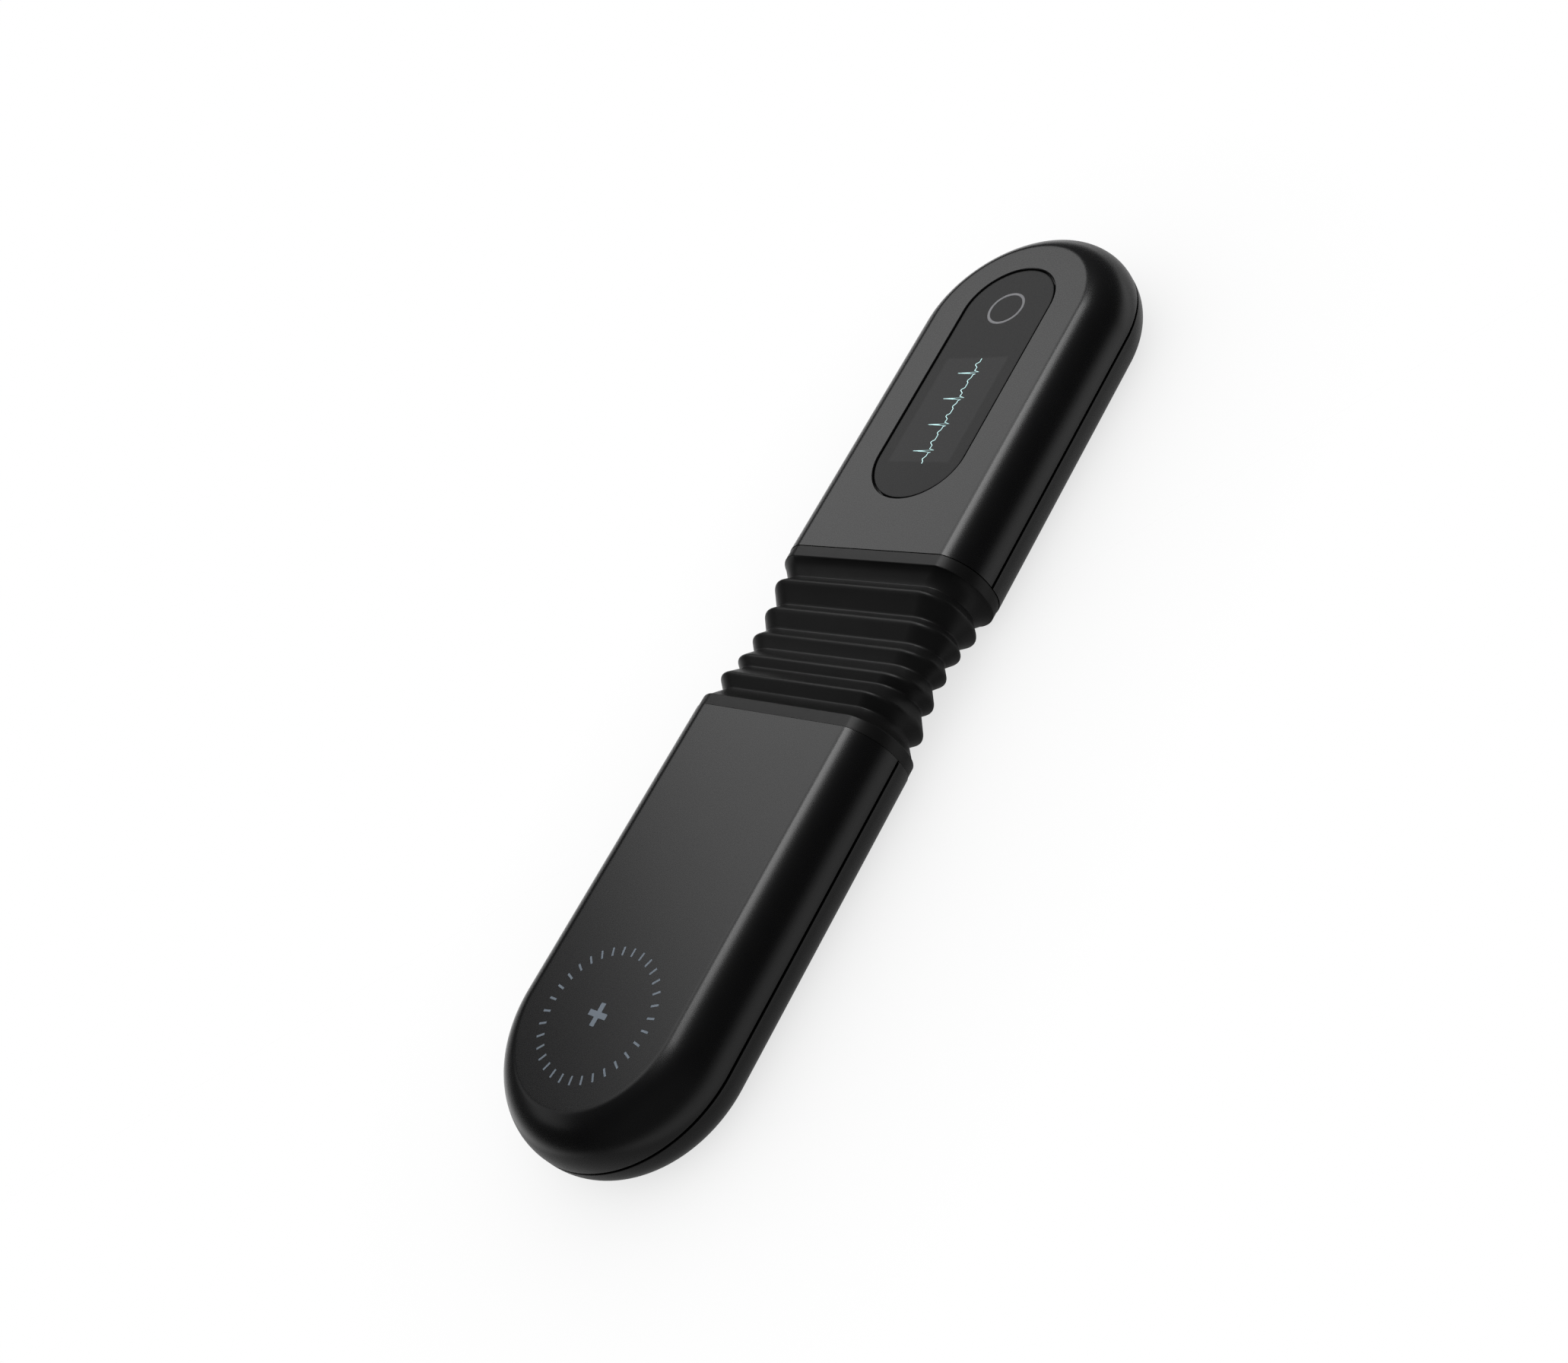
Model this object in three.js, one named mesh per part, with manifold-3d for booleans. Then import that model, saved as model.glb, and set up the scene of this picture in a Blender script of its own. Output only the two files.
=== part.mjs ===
// A hand-held heart recorder: two rigid capsule halves joined by a soft ribbed bellows.
// Millimetres. X is the width, +Y runs towards the display end, +Z is up out of the top face.
// The origin is on the underside, below the middle of the bellows.

import * as THREE from "three";
import { mergeVertices } from "three/addons/utils/BufferGeometryUtils.js";
import Module from "manifold-3d";

const wasm = await Module();
wasm.setup();

// Outer body
const bodyWidth = 40;
const bodyThickness = 15.4;
const halfLength = 70.3; // one rigid half, from its seam to its rounded tip
const sleeveLength = 31; // the bellows with its two collars, from seam to seam
const sideRadius = 7.5; // the long rounding of the side
const creaseRadius = 2.4; // the tighter rounding where the flat top ends
const creaseAngle = THREE.MathUtils.degToRad(20);
const leastRadius = 0.05; // of the crease where walls inside leave it no more
const wall = 1.8;

// Gaps and clearances
const partingGap = 0.4; // between the top shell and the bottom cover
const seamGap = 0.2; // between a rigid half and the bellows
const fitGap = 0.3; // between pieces that are set into one another
const overrun = 1; // how far a cutting solid runs past what it cuts

// Gasket in the parting gap
const gasketRecess = 0.7;
const gasketWidth = 0.9;

// Display window
const windowRadius = 8.83; // half the width of the opening
const windowTipMargin = 10.67; // from the opening to the rounded tip's end
const windowNeckMargin = 10.17; // from the opening to the seam
const windowRecess = 0.15; // how deep the glass lies under the top face
const windowGap = 0.25;
const windowThickness = 0.8;
const adhesiveThickness = 0.2;
const ledgeWidth = 1.3;

// Ring printed on the glass
const inkHeight = 0.05;
const touchSpotDrop = 0.1; // below the middle of the window's upper round end
const touchRingRadius = 3.19;
const touchRingStroke = 0.5;

// Thumb pad marks: the ends of light guides that come up through the electrode half's top
const thumbPadAdvance = 0.3; // past the middle of the rounded tip
const tickCount = 32;
const tickRingRadius = 9.82;
const tickLength = 1.35;
const tickWidth = 0.34;
const centreMarkLength = 3.6;
const centreMarkStroke = 0.9;
const guideGap = 0.06; // round each light guide's leg
const guideThickness = 0.6; // of the guides' flanges, under the ceiling
const guideRingMargin = 0.35; // how far the ring flange stands out past the ticks
const markFlangeMargin = 0.8; // round the centre mark
const padLightSize = 1.6;
const padLightHeight = 0.7;

// Behind the window
const panelSideGap = 0.43; // between the panel and the opening's ledge
const panelOverhang = 2.2; // below the middle of the window's lower round end
const panelSensorGap = 4.5;
const panelThickness = 1.3;
const sensorRadius = 5.5;
const sensorThickness = 0.5;
const panelFlexWidth = 8;
const flexThickness = 0.3;
const panelFlexLap = 3.5; // how far the flex lies under the panel
const panelFlexReach = 2.4; // how far its bend stands out past the panel
const panelConnectorMargin = 0.8; // on each side of the flex
const flexBendShare = 0.325; // each bend's radius, of the drop from the panel to the connector

// Circuit boards
const boardThickness = 0.8;
const boardRise = 0.7; // the boards' upper face, above the middle plane
const boardSideRoom = 7; // from the board's edge to the body's side
const boardEndGap = 0.8; // between the board and the neck frame
const boardTipSetback = 2.8; // its round end's middle, from the body's
const connectorHeight = 1.5;
const connectorDepth = 3.2;
const connectorWidth = 6;
const processorSize = 7;
const processorHeight = 0.9;
const chipGap = 1.4;
const radioWidth = 11;
const radioLength = 13;
const radioHeight = 1.7;
const memoryWidth = 5;
const memoryLength = 6;
const memoryHeight = 0.8;
const amplifierSize = 6;
const amplifierHeight = 0.9;
const amplifierPadDistance = 12.1; // from the thumb pad's middle
const chargerSize = 3.4;
const chargerHeight = 0.8;
const chargerX = -6.5;
const chargerAmplifierDistance = 10;

// Fasteners
const coverScrewSideInset = 8.5; // from the body's side
const bossNeckGap = 0.6; // between a boss and the neck frame
const bossPadGap = 0.35; // at least, between a boss and the thumb pad's light guide
const bossBoardGap = 1.3; // at least, between the tip's boss and the board
const coverBossMargin = 0.5; // round the screw's head
const screwRadius = 0.8;
const coverHeadRadius = 1.6;
const coverHeadHeight = 1.1;
const coverHeadSink = 0.4; // how deep a cover screw's head lies in the underside
const coverScrewReach = 3; // how far the cover screw runs into the top shell's boss
const boardScrewEdge = 3; // from the board's edge
const boardScrewSetback = 10; // of the two side screws, from the middle of the board's round end
const boardBossRadius = 2;
const boardHeadRadius = 1.5;
const boardHeadHeight = 0.8;
const boardScrewLength = 3.6;
const hexShare = 0.55; // across the driver socket, as a share of the head
const socketDepthShare = 0.6; // of the head's height

// Electrodes under the halves
const electrodeHalfWidth = 8;
const electrodeThickness = 0.8;
const displayElectrodeSpan = 10; // between the middles of its round ends
const displayElectrodeSetback = 17.8; // from the middle of the rounded tip
const chestElectrodeSpan = 4;
const chestElectrodeAdvance = 0.2;
const studRadius = 1.6;
const studHeight = 3.4;
const contactRadius = 1;
const thumbPlateGap = 0.4; // between the plate and the light guides' flanges
const thumbPlateThickness = 0.4;

// Vibration motor
const motorRadius = 4;
const motorHeight = 2.6;
const motorSetback = 2; // from the middle of the board's round end

// Battery and charging
const batterySideRoom = 7; // from the cell to the body's side
const batteryScrewGap = 0.8; // between the cell and the neck end's screw bosses
const batteryLeadRoom = 3.2; // between the cell and the charging contacts
const batteryBoardGap = 0.5; // between the cell and the board over it
const batteryPadThickness = 0.3;
const batteryPadMargin = 1.5;
const leadRadius = 0.5;
const leadPitch = 0.8; // between the two cores of the battery lead
const leadRun = 1.9; // how far a lead runs out of the cell before it is up at the board
const chargePinX = 4.6;
const chargePinElectrodeRoom = 4.4; // from the contacts' middles to the electrode's end
const chargePinRadius = 1.4;
const chargePinNeckRadius = 0.8;
const chargePinHeadHeight = 2.6;

// Bellows
const ribCount = 5;
const collarLength = 2.05;
const collarInset = 0.1; // how far the rubber lies under the rigid halves' surface
const collarEdgeRadius = 0.45;
const ribSideInset = 0.75; // of the crests, from the body's side
const ribSideDepth = 1.15;
const waistRibDepth = 1.55; // of the middle rib, up and down
const ribCornerWidth = 5.65;
const endCrestInset = 0.15; // of the height that the crests tend to at the collars
const endValleyInset = 1.45; // of the height that the valleys tend to at the collars
const waistRoom = 0.2; // between the sleeve's inside and the ribbon cable
const crestLand = 0.22; // half the width of a rib's flat crest
const valleyLand = 0.14;
const sleeveWall = 0.85;

// Neck frames, which close the rigid halves and carry the bellows and the joint
const plugDepth = 3.2;
const spigotSideInset = 3.4; // from the body's side
const spigotTopInset = 2.7; // from the body's top
const spigotLength = 2.8;

// Two-way joint inside the bellows
const armWidth = 3;
const armHalfHeight = 1.6;
const linkSideRoom = 9.4; // from the link's end to the body's side
const linkHalfThickness = 0.7;
const linkBossLength = 3;
const bendPinRadius = 0.7;
const bendPinSink = 2.4; // how deep a bend pin sits in the link
const barHalfWidth = 3;
const forkWall = 0.95;
const forkSlotDepth = 4.1;
const forkGap = 0.25;
const swingPinRadius = 1;

// Ribbon cable between the two boards
const cableWidth = 3.2;
const connectorBossGap = 0.9; // between its connectors and the screw bosses beside them
const cableLap = 0.4; // how far it lies over a board's end

// How finely round shapes are divided
const sideSteps = 6;
const creaseSteps = 2;
const tipSteps = 20;
const insideSideSteps = 3;
const insideCreaseSteps = 1;
const insideTipSteps = 10;
const roundSteps = 32;
const boreSteps = 10;
const pinSteps = 14;
const leadSteps = 5;
const leadSides = 3; // for each half turn
const smallBendSteps = 3;

// Places that follow from the sizes
const rightAngle = Math.PI / 2;
const halfWidth = bodyWidth / 2;
const midZ = bodyThickness / 2;
const seamY = sleeveLength / 2;
const podStartY = seamY + seamGap / 2;
const tipCentreY = seamY + halfLength - halfWidth;
const tipEndY = seamY + halfLength;
const upperRimZ = midZ + partingGap / 2;
const lowerRimZ = midZ - partingGap / 2;
const ceilingZ = bodyThickness - wall;
const floorZ = wall;
const windowTopZ = bodyThickness - windowRecess;
const windowBottomZ = windowTopZ - windowThickness;
const ledgeZ = windowBottomZ - adhesiveThickness;
const windowTopCentreY = tipEndY - windowTipMargin - windowRadius;
const windowBottomCentreY = podStartY + windowNeckMargin + windowRadius;
const touchSpotY = windowTopCentreY - touchSpotDrop;
const thumbPadY = -tipCentreY - thumbPadAdvance;
const guideReach = tickLength / 2 + guideRingMargin;
const boardTopZ = midZ + boardRise;
const boardBottomZ = boardTopZ - boardThickness;
const boardHalfWidth = halfWidth - boardSideRoom;
const boardStartY = podStartY + plugDepth + boardEndGap;
const boardTipCentreY = tipCentreY - boardTipSetback;
const coverBossRadius = coverHeadRadius + coverBossMargin;
const coverScrewX = halfWidth - coverScrewSideInset;
const coverScrewNearY = podStartY + plugDepth + bossNeckGap + coverBossRadius;
const padGuideEndY = -thumbPadY + tickRingRadius + guideReach;
const boardTipEndY = boardTipCentreY + boardHalfWidth;
const coverScrewTipY = Math.max(padGuideEndY + bossPadGap, boardTipEndY + bossBoardGap) + coverBossRadius;
const boardScrewX = boardHalfWidth - boardScrewEdge;
const boardScrewY = boardTipCentreY - boardScrewSetback;
const boardScrewTipY = boardTipEndY - boardScrewEdge;
const cableX = coverScrewX - coverBossRadius - connectorBossGap - connectorWidth / 2;
const cableEndY = boardStartY + cableLap;
const cableZ = midZ + armHalfHeight + fitGap + flexThickness / 2;
const forkHalfHeight = linkHalfThickness + forkGap + forkWall;
const linkHalfWidth = halfWidth - linkSideRoom;
const DISPLAY = 1;
const ELECTRODE = -1;

// Boolean work on closed meshes
function solid(geometry) {
  const bare = geometry.index ? geometry.toNonIndexed() : geometry.clone();
  bare.deleteAttribute("normal");
  bare.deleteAttribute("uv");
  const merged = mergeVertices(bare);
  return new wasm.Manifold(new wasm.Mesh({
    numProp: 3,
    vertProperties: new Float32Array(merged.attributes.position.array),
    triVerts: new Uint32Array(merged.index.array),
  }));
}

function cut(body, ...tools) {
  return tools.reduce((left, tool) => left.subtract(tool), body);
}

function join(...bodies) {
  return bodies.reduce((whole, body) => whole.add(body));
}

function toGeometry(body) {
  const mesh = body.getMesh();
  const geometry = new THREE.BufferGeometry();
  geometry.setAttribute("position", new THREE.BufferAttribute(new Float32Array(mesh.vertProperties), 3));
  geometry.setIndex(new THREE.BufferAttribute(new Uint32Array(mesh.triVerts), 1));
  return geometry;
}

// The model
const model = new THREE.Group();

function addPiece(name, body, finish) {
  const mesh = new THREE.Mesh(toGeometry(body), new THREE.MeshStandardMaterial(finish));
  mesh.name = name;
  model.add(mesh);
}

const coatedPlastic = { color: 0x26272a, roughness: 0.45, metalness: 0.1 };
const smokedGlass = { color: 0x101114, roughness: 0.12, metalness: 0 };
const softRubber = { color: 0x141415, roughness: 0.8, metalness: 0 };
const paleInk = { color: 0x6f7276, roughness: 0.6, metalness: 0 };
const blueInk = { color: 0x55606c, roughness: 0.6, metalness: 0 };
const innerPlastic = { color: 0x2f3033, roughness: 0.6, metalness: 0 };
const boardGreen = { color: 0x0f4a35, roughness: 0.5, metalness: 0 };
const chipBlack = { color: 0x17181a, roughness: 0.4, metalness: 0 };
const steel = { color: 0xb9bcc0, roughness: 0.3, metalness: 1 };
const gold = { color: 0xd9b45a, roughness: 0.3, metalness: 1 };
const cellFoil = { color: 0xa6abb2, roughness: 0.4, metalness: 0.7 };
const flexAmber = { color: 0x8a5a1c, roughness: 0.5, metalness: 0 };
const tape = { color: 0x1a1a1a, roughness: 0.9, metalness: 0 };
const leadRed = { color: 0x8c1f1f, roughness: 0.6, metalness: 0 };

// Basic solids
function block(lowX, highX, lowY, highY, lowZ, highZ) {
  const geometry = new THREE.BoxGeometry(highX - lowX, highY - lowY, highZ - lowZ);
  geometry.translate((lowX + highX) / 2, (lowY + highY) / 2, (lowZ + highZ) / 2);
  return solid(geometry);
}

function uprightRod(radius, x, y, lowZ, highZ, steps = boreSteps) {
  const geometry = new THREE.CylinderGeometry(radius, radius, highZ - lowZ, steps);
  geometry.rotateX(rightAngle);
  geometry.translate(x, y, (lowZ + highZ) / 2);
  return solid(geometry);
}

function crossRod(radius, lowX, highX, y, z, steps = pinSteps) {
  const geometry = new THREE.CylinderGeometry(radius, radius, highX - lowX, steps);
  geometry.rotateZ(rightAngle);
  geometry.translate((lowX + highX) / 2, y, z);
  return solid(geometry);
}

// A flat plate of any outline in plan
function plate(outline, lowZ, highZ) {
  const options = { depth: highZ - lowZ, bevelEnabled: false };
  const geometry = new THREE.ExtrudeGeometry(new THREE.Shape(outline), options);
  geometry.translate(0, 0, lowZ);
  return solid(geometry);
}

// A strip of constant section across the width, from an outline in Y and Z
function strip(outline, lowX, highX) {
  const options = { depth: highX - lowX, bevelEnabled: false };
  const geometry = new THREE.ExtrudeGeometry(new THREE.Shape(outline), options);
  geometry.rotateY(rightAngle);
  geometry.rotateX(rightAngle);
  geometry.translate(lowX, 0, 0);
  return solid(geometry);
}

// Points along an arc about a centre
function arc(centreX, centreY, radius, startTurn, endTurn, steps) {
  const points = [];
  for (let i = 0; i <= steps; i++) {
    const turn = startTurn + (i / steps) * (endTurn - startTurn);
    points.push(new THREE.Vector2(centreX + radius * Math.cos(turn), centreY + radius * Math.sin(turn)));
  }
  return points;
}

// A capsule outline, from one round end's centre to the other's
function capsule(radius, nearY, farY, steps = boreSteps) {
  return [
    ...arc(0, Math.max(nearY, farY), radius, 0, Math.PI, steps),
    ...arc(0, Math.min(nearY, farY), radius, Math.PI, 2 * Math.PI, steps),
  ];
}

// An outline with a square end at startY and a round end about tipY
function tongue(side, radius, startY, tipY, steps = boreSteps) {
  return [
    new THREE.Vector2(radius, side * startY),
    ...arc(0, side * tipY, radius, 0, side * Math.PI, steps),
    new THREE.Vector2(-radius, side * startY),
  ];
}

// Closed surface through rings of matching points: flat caps at its ends, or joined end to end
function loft(rings, joinEnds = false) {
  const size = rings[0].length;
  const positions = rings.flat().flatMap((point) => point.toArray());
  const faces = [];
  const spans = joinEnds ? rings.length : rings.length - 1;
  for (let ring = 0; ring < spans; ring++) {
    const here = ring * size;
    const next = ((ring + 1) % rings.length) * size;
    for (let i = 0; i < size; i++) {
      const j = (i + 1) % size;
      faces.push(here + i, here + j, next + j, here + i, next + j, next + i);
    }
  }
  if (!joinEnds) {
    const last = (rings.length - 1) * size;
    for (let i = 1; i < size - 1; i++) {
      faces.push(0, i + 1, i);
      faces.push(last, last + i, last + i + 1);
    }
  }
  if (enclosedVolume(positions, faces) < 0) {
    faces.reverse();
  }
  const geometry = new THREE.BufferGeometry();
  geometry.setAttribute("position", new THREE.Float32BufferAttribute(positions, 3));
  geometry.setIndex(faces);
  return solid(geometry);
}

function enclosedVolume(positions, faces) {
  const corner = (index) => new THREE.Vector3().fromArray(positions, 3 * index);
  let total = 0;
  for (let i = 0; i < faces.length; i += 3) {
    const [a, b, c] = [corner(faces[i]), corner(faces[i + 1]), corner(faces[i + 2])];
    total += a.dot(b.cross(c)) / 6;
  }
  return total;
}

// Upper right quarter of the body's section, from the side up to the flat top, drawn in by inset.
// Each point is a half width and a height above the middle plane.
function sectionQuarter(inset, sides = sideSteps, creases = creaseSteps) {
  const creaseRise = midZ - creaseRadius;
  const tallestSide = creaseRadius + (creaseRise - partingGap) / Math.cos(creaseAngle);
  const outerRadius = Math.min(sideRadius, tallestSide);
  const sideX = halfWidth - outerRadius;
  const creaseX = sideX + (outerRadius - creaseRadius) * Math.sin(creaseAngle);
  const sideRise = creaseRise - (outerRadius - creaseRadius) * Math.cos(creaseAngle);
  const points = [];
  for (let i = 0; i <= sides; i++) {
    const turn = (i / sides) * (rightAngle - creaseAngle);
    const radius = outerRadius - inset;
    points.push([sideX + radius * Math.cos(turn), sideRise + radius * Math.sin(turn)]);
  }
  for (let i = 1; i <= creases; i++) {
    const turn = rightAngle - creaseAngle * (1 - i / creases);
    const radius = Math.max(creaseRadius - inset, leastRadius);
    points.push([creaseX + radius * Math.cos(turn), creaseRise + radius * Math.sin(turn)]);
  }
  return points;
}

// Upper right quarter of a rib's section: a flat top and an elliptical side
function ribQuarter(ribWidth, ribHeight, cornerWidth) {
  const steps = sideSteps + creaseSteps;
  const points = [];
  for (let i = 0; i <= steps; i++) {
    const turn = ((i + 1 / 2) / (steps + 1 / 2)) * rightAngle;
    points.push([ribWidth - cornerWidth * (1 - Math.cos(turn)), ribHeight * Math.sin(turn)]);
  }
  return points;
}

// The whole section at one place along Y
function sectionRing(quarter, y) {
  const up = quarter.map(([x, rise]) => new THREE.Vector3(x, y, midZ + rise));
  const upperLeft = quarter.toReversed().map(([x, rise]) => new THREE.Vector3(-x, y, midZ + rise));
  const lowerLeft = quarter.map(([x, rise]) => new THREE.Vector3(-x, y, midZ - rise));
  const lowerRight = quarter.toReversed().map(([x, rise]) => new THREE.Vector3(x, y, midZ - rise));
  return [...up, ...upperLeft, ...lowerLeft, ...lowerRight];
}

// One rigid half, above or below the middle plane: square at the seam and round at the tip
function podSolid(side, above, inset, startY, rimRise) {
  const quarter = inset > 0 ? sectionQuarter(inset, insideSideSteps, insideCreaseSteps) : sectionQuarter(0);
  const steps = inset > 0 ? insideTipSteps : tipSteps;
  const levels = [[halfWidth - inset, rimRise], ...quarter];
  return loft(levels.map(([reach, rise]) => {
    const z = above ? midZ + rise : midZ - rise;
    const ring = [new THREE.Vector3(reach, side * startY, z)];
    for (let i = 0; i <= steps; i++) {
      const turn = (i / steps) * Math.PI;
      const y = side * (tipCentreY + reach * Math.sin(turn));
      ring.push(new THREE.Vector3(reach * Math.cos(turn), y, z));
    }
    ring.push(new THREE.Vector3(-reach, side * startY, z));
    return ring;
  }));
}

function neckScrewPlaces(side) {
  return [-1, 1].map((way) => [way * coverScrewX, side * coverScrewNearY]);
}

function coverScrewPlaces(side) {
  return [...neckScrewPlaces(side), [0, side * coverScrewTipY]];
}

function boardScrewPlaces(side) {
  return [
    [-boardScrewX, side * boardScrewY],
    [boardScrewX, side * boardScrewY],
    [0, side * boardScrewTipY],
  ];
}

// Top shells
function topShell(side) {
  const outer = podSolid(side, true, 0, podStartY, partingGap / 2);
  const inner = podSolid(side, true, wall, podStartY - overrun, -overrun);
  const core = podSolid(side, true, wall / 2, podStartY, partingGap / 2);
  let shell = cut(outer, inner);
  for (const [x, y] of coverScrewPlaces(side)) {
    const boss = uprightRod(coverBossRadius, x, y, upperRimZ, ceilingZ + wall / 2);
    const boreTop = upperRimZ + coverScrewReach + fitGap;
    shell = join(shell, boss.intersect(core));
    shell = cut(shell, uprightRod(screwRadius + fitGap, x, y, upperRimZ - overrun, boreTop));
  }
  return shell;
}

const windowSeat = plate(
  capsule(windowRadius, windowBottomCentreY, windowTopCentreY, tipSteps), ledgeZ, bodyThickness + overrun);
const frameHole = capsule(windowRadius - ledgeWidth, windowBottomCentreY, windowTopCentreY);
const windowHole = plate(frameHole, ceilingZ - overrun, bodyThickness);
addPiece("display_top_shell", cut(topShell(DISPLAY), windowSeat, windowHole), coatedPlastic);

// Thumb pad: a ring of ticks and a plain cross, both light guides with a flange under the ceiling
function tick(index, clearance, lowZ, highZ) {
  const geometry = new THREE.BoxGeometry(tickLength + 2 * clearance, tickWidth + 2 * clearance, highZ - lowZ);
  geometry.translate(tickRingRadius, 0, (lowZ + highZ) / 2);
  geometry.rotateZ((index / tickCount) * 2 * Math.PI);
  geometry.translate(0, thumbPadY, 0);
  return solid(geometry);
}

function tickRing(clearance, lowZ, highZ) {
  return join(...Array.from({ length: tickCount }, (_, index) => tick(index, clearance, lowZ, highZ)));
}

function cross(clearance, lowZ, highZ) {
  const reach = centreMarkLength / 2 + clearance;
  const half = centreMarkStroke / 2 + clearance;
  return join(
    block(-reach, reach, thumbPadY - half, thumbPadY + half, lowZ, highZ),
    block(-half, half, thumbPadY - reach, thumbPadY + reach, lowZ, highZ));
}

function disc(radius, lowZ, highZ) {
  return uprightRod(radius, 0, thumbPadY, lowZ, highZ, roundSteps);
}

const slotTopZ = bodyThickness + overrun;
const slotLowZ = ceilingZ - overrun;
const flangeLowZ = ceilingZ - guideThickness;
const legRootZ = ceilingZ - guideThickness / 2;
addPiece("electrode_top_shell", cut(
  topShell(ELECTRODE),
  tickRing(guideGap, slotLowZ, slotTopZ),
  cross(guideGap, slotLowZ, slotTopZ)), coatedPlastic);
addPiece("tick_light_guide", join(
  cut(
    disc(tickRingRadius + guideReach, flangeLowZ, ceilingZ),
    disc(tickRingRadius - guideReach, flangeLowZ - overrun, ceilingZ + overrun)),
  tickRing(0, legRootZ, bodyThickness)), blueInk);
const markFlangeRadius = centreMarkLength / 2 + markFlangeMargin;
addPiece("mark_light_guide", join(
  disc(markFlangeRadius, flangeLowZ, ceilingZ), cross(0, legRootZ, bodyThickness)), blueInk);

// Electrodes, set flush in the undersides, each with a stud up through the cover
const displayElectrodeFarY = tipCentreY - displayElectrodeSetback;
const chestElectrodeFarY = tipCentreY + chestElectrodeAdvance;
const chestElectrodeNearY = chestElectrodeFarY - chestElectrodeSpan;
const electrodeSpans = new Map([
  [DISPLAY, [displayElectrodeFarY - displayElectrodeSpan, displayElectrodeFarY]],
  [ELECTRODE, [-chestElectrodeNearY, -chestElectrodeFarY]],
]);

function studY(side) {
  const [nearY, farY] = electrodeSpans.get(side);
  return (nearY + farY) / 2;
}

function electrode(side) {
  const face = plate(capsule(electrodeHalfWidth, ...electrodeSpans.get(side)), 0, electrodeThickness);
  return join(face, uprightRod(studRadius, 0, studY(side), electrodeThickness / 2, studHeight));
}

// Bottom covers
function bottomCover(side) {
  const outer = podSolid(side, false, 0, podStartY, partingGap / 2);
  const inner = podSolid(side, false, wall, podStartY - overrun, -overrun);
  const core = podSolid(side, false, wall / 2, podStartY, partingGap / 2);
  const shoulderZ = coverHeadSink + coverHeadHeight;
  let cover = cut(outer, inner);
  for (const [x, y] of coverScrewPlaces(side)) {
    const boss = uprightRod(coverBossRadius, x, y, floorZ - wall / 2, lowerRimZ);
    cover = join(cover, boss.intersect(core));
    cover = cut(cover, uprightRod(screwRadius + fitGap, x, y, -overrun, lowerRimZ + overrun));
    cover = cut(cover, uprightRod(coverHeadRadius + fitGap, x, y, -overrun, shoulderZ));
  }
  for (const [x, y] of boardScrewPlaces(side)) {
    const boss = uprightRod(boardBossRadius, x, y, floorZ - wall / 2, boardBottomZ);
    const boreFloor = boardTopZ - boardScrewLength - fitGap;
    cover = join(cover, boss);
    cover = cut(cover, uprightRod(screwRadius + fitGap, x, y, boreFloor, boardBottomZ + overrun));
  }
  const seat = plate(
    capsule(electrodeHalfWidth + fitGap, ...electrodeSpans.get(side)), -overrun, electrodeThickness);
  const studHole = uprightRod(studRadius + fitGap, 0, studY(side), 0, floorZ + overrun);
  return cut(cover, seat, studHole);
}

const chargePinY = chestElectrodeNearY - electrodeHalfWidth - chargePinElectrodeRoom;
const chargePlaces = [[-chargePinX, -chargePinY], [chargePinX, -chargePinY]];
const chargeHoles = chargePlaces.map(
  ([x, y]) => uprightRod(chargePinRadius + fitGap, x, y, -overrun, floorZ + overrun));
addPiece("display_bottom_cover", bottomCover(DISPLAY), coatedPlastic);
addPiece("electrode_bottom_cover", cut(bottomCover(ELECTRODE), ...chargeHoles), coatedPlastic);
addPiece("display_electrode", electrode(DISPLAY), steel);
addPiece("chest_electrode", electrode(ELECTRODE), steel);

// Gaskets in the parting gaps
function gasket(side) {
  const outerReach = halfWidth - gasketRecess;
  const innerReach = outerReach - gasketWidth;
  const whole = tongue(side, outerReach, podStartY, tipCentreY, tipSteps);
  const middle = tongue(side, innerReach, podStartY - overrun, tipCentreY, tipSteps);
  return cut(plate(whole, lowerRimZ, upperRimZ), plate(middle, lowerRimZ - overrun, upperRimZ + overrun));
}

addPiece("display_gasket", gasket(DISPLAY), softRubber);
addPiece("electrode_gasket", gasket(ELECTRODE), softRubber);

// Window, its adhesive frame and the printed touch ring
const glassOutline = capsule(windowRadius - windowGap, windowBottomCentreY, windowTopCentreY, tipSteps);
addPiece("display_window", plate(glassOutline, windowBottomZ, windowTopZ), smokedGlass);
addPiece("window_adhesive", cut(
  plate(glassOutline, ledgeZ, windowBottomZ),
  plate(frameHole, ledgeZ - overrun, windowBottomZ + overrun)), tape);
const ringOuterRadius = touchRingRadius + touchRingStroke / 2;
const ringInnerRadius = touchRingRadius - touchRingStroke / 2;
addPiece("touch_ring", cut(
  uprightRod(ringOuterRadius, 0, touchSpotY, windowTopZ, windowTopZ + inkHeight, roundSteps),
  uprightRod(ringInnerRadius, 0, touchSpotY, windowTopZ - overrun, windowTopZ + overrun, roundSteps),
), paleInk);

// Display panel and touch sensor, bonded under the glass
const panelBottomZ = windowBottomZ - panelThickness;
const panelHalfWidth = windowRadius - ledgeWidth - panelSideGap;
const panelNearY = windowBottomCentreY - panelOverhang;
const panelFarY = touchSpotY - sensorRadius - panelSensorGap;
addPiece("display_panel", block(
  -panelHalfWidth, panelHalfWidth, panelNearY, panelFarY, panelBottomZ, windowBottomZ), chipBlack);
addPiece("touch_sensor", uprightRod(
  sensorRadius, 0, touchSpotY, windowBottomZ - sensorThickness, windowBottomZ, roundSteps), flexAmber);

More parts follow.
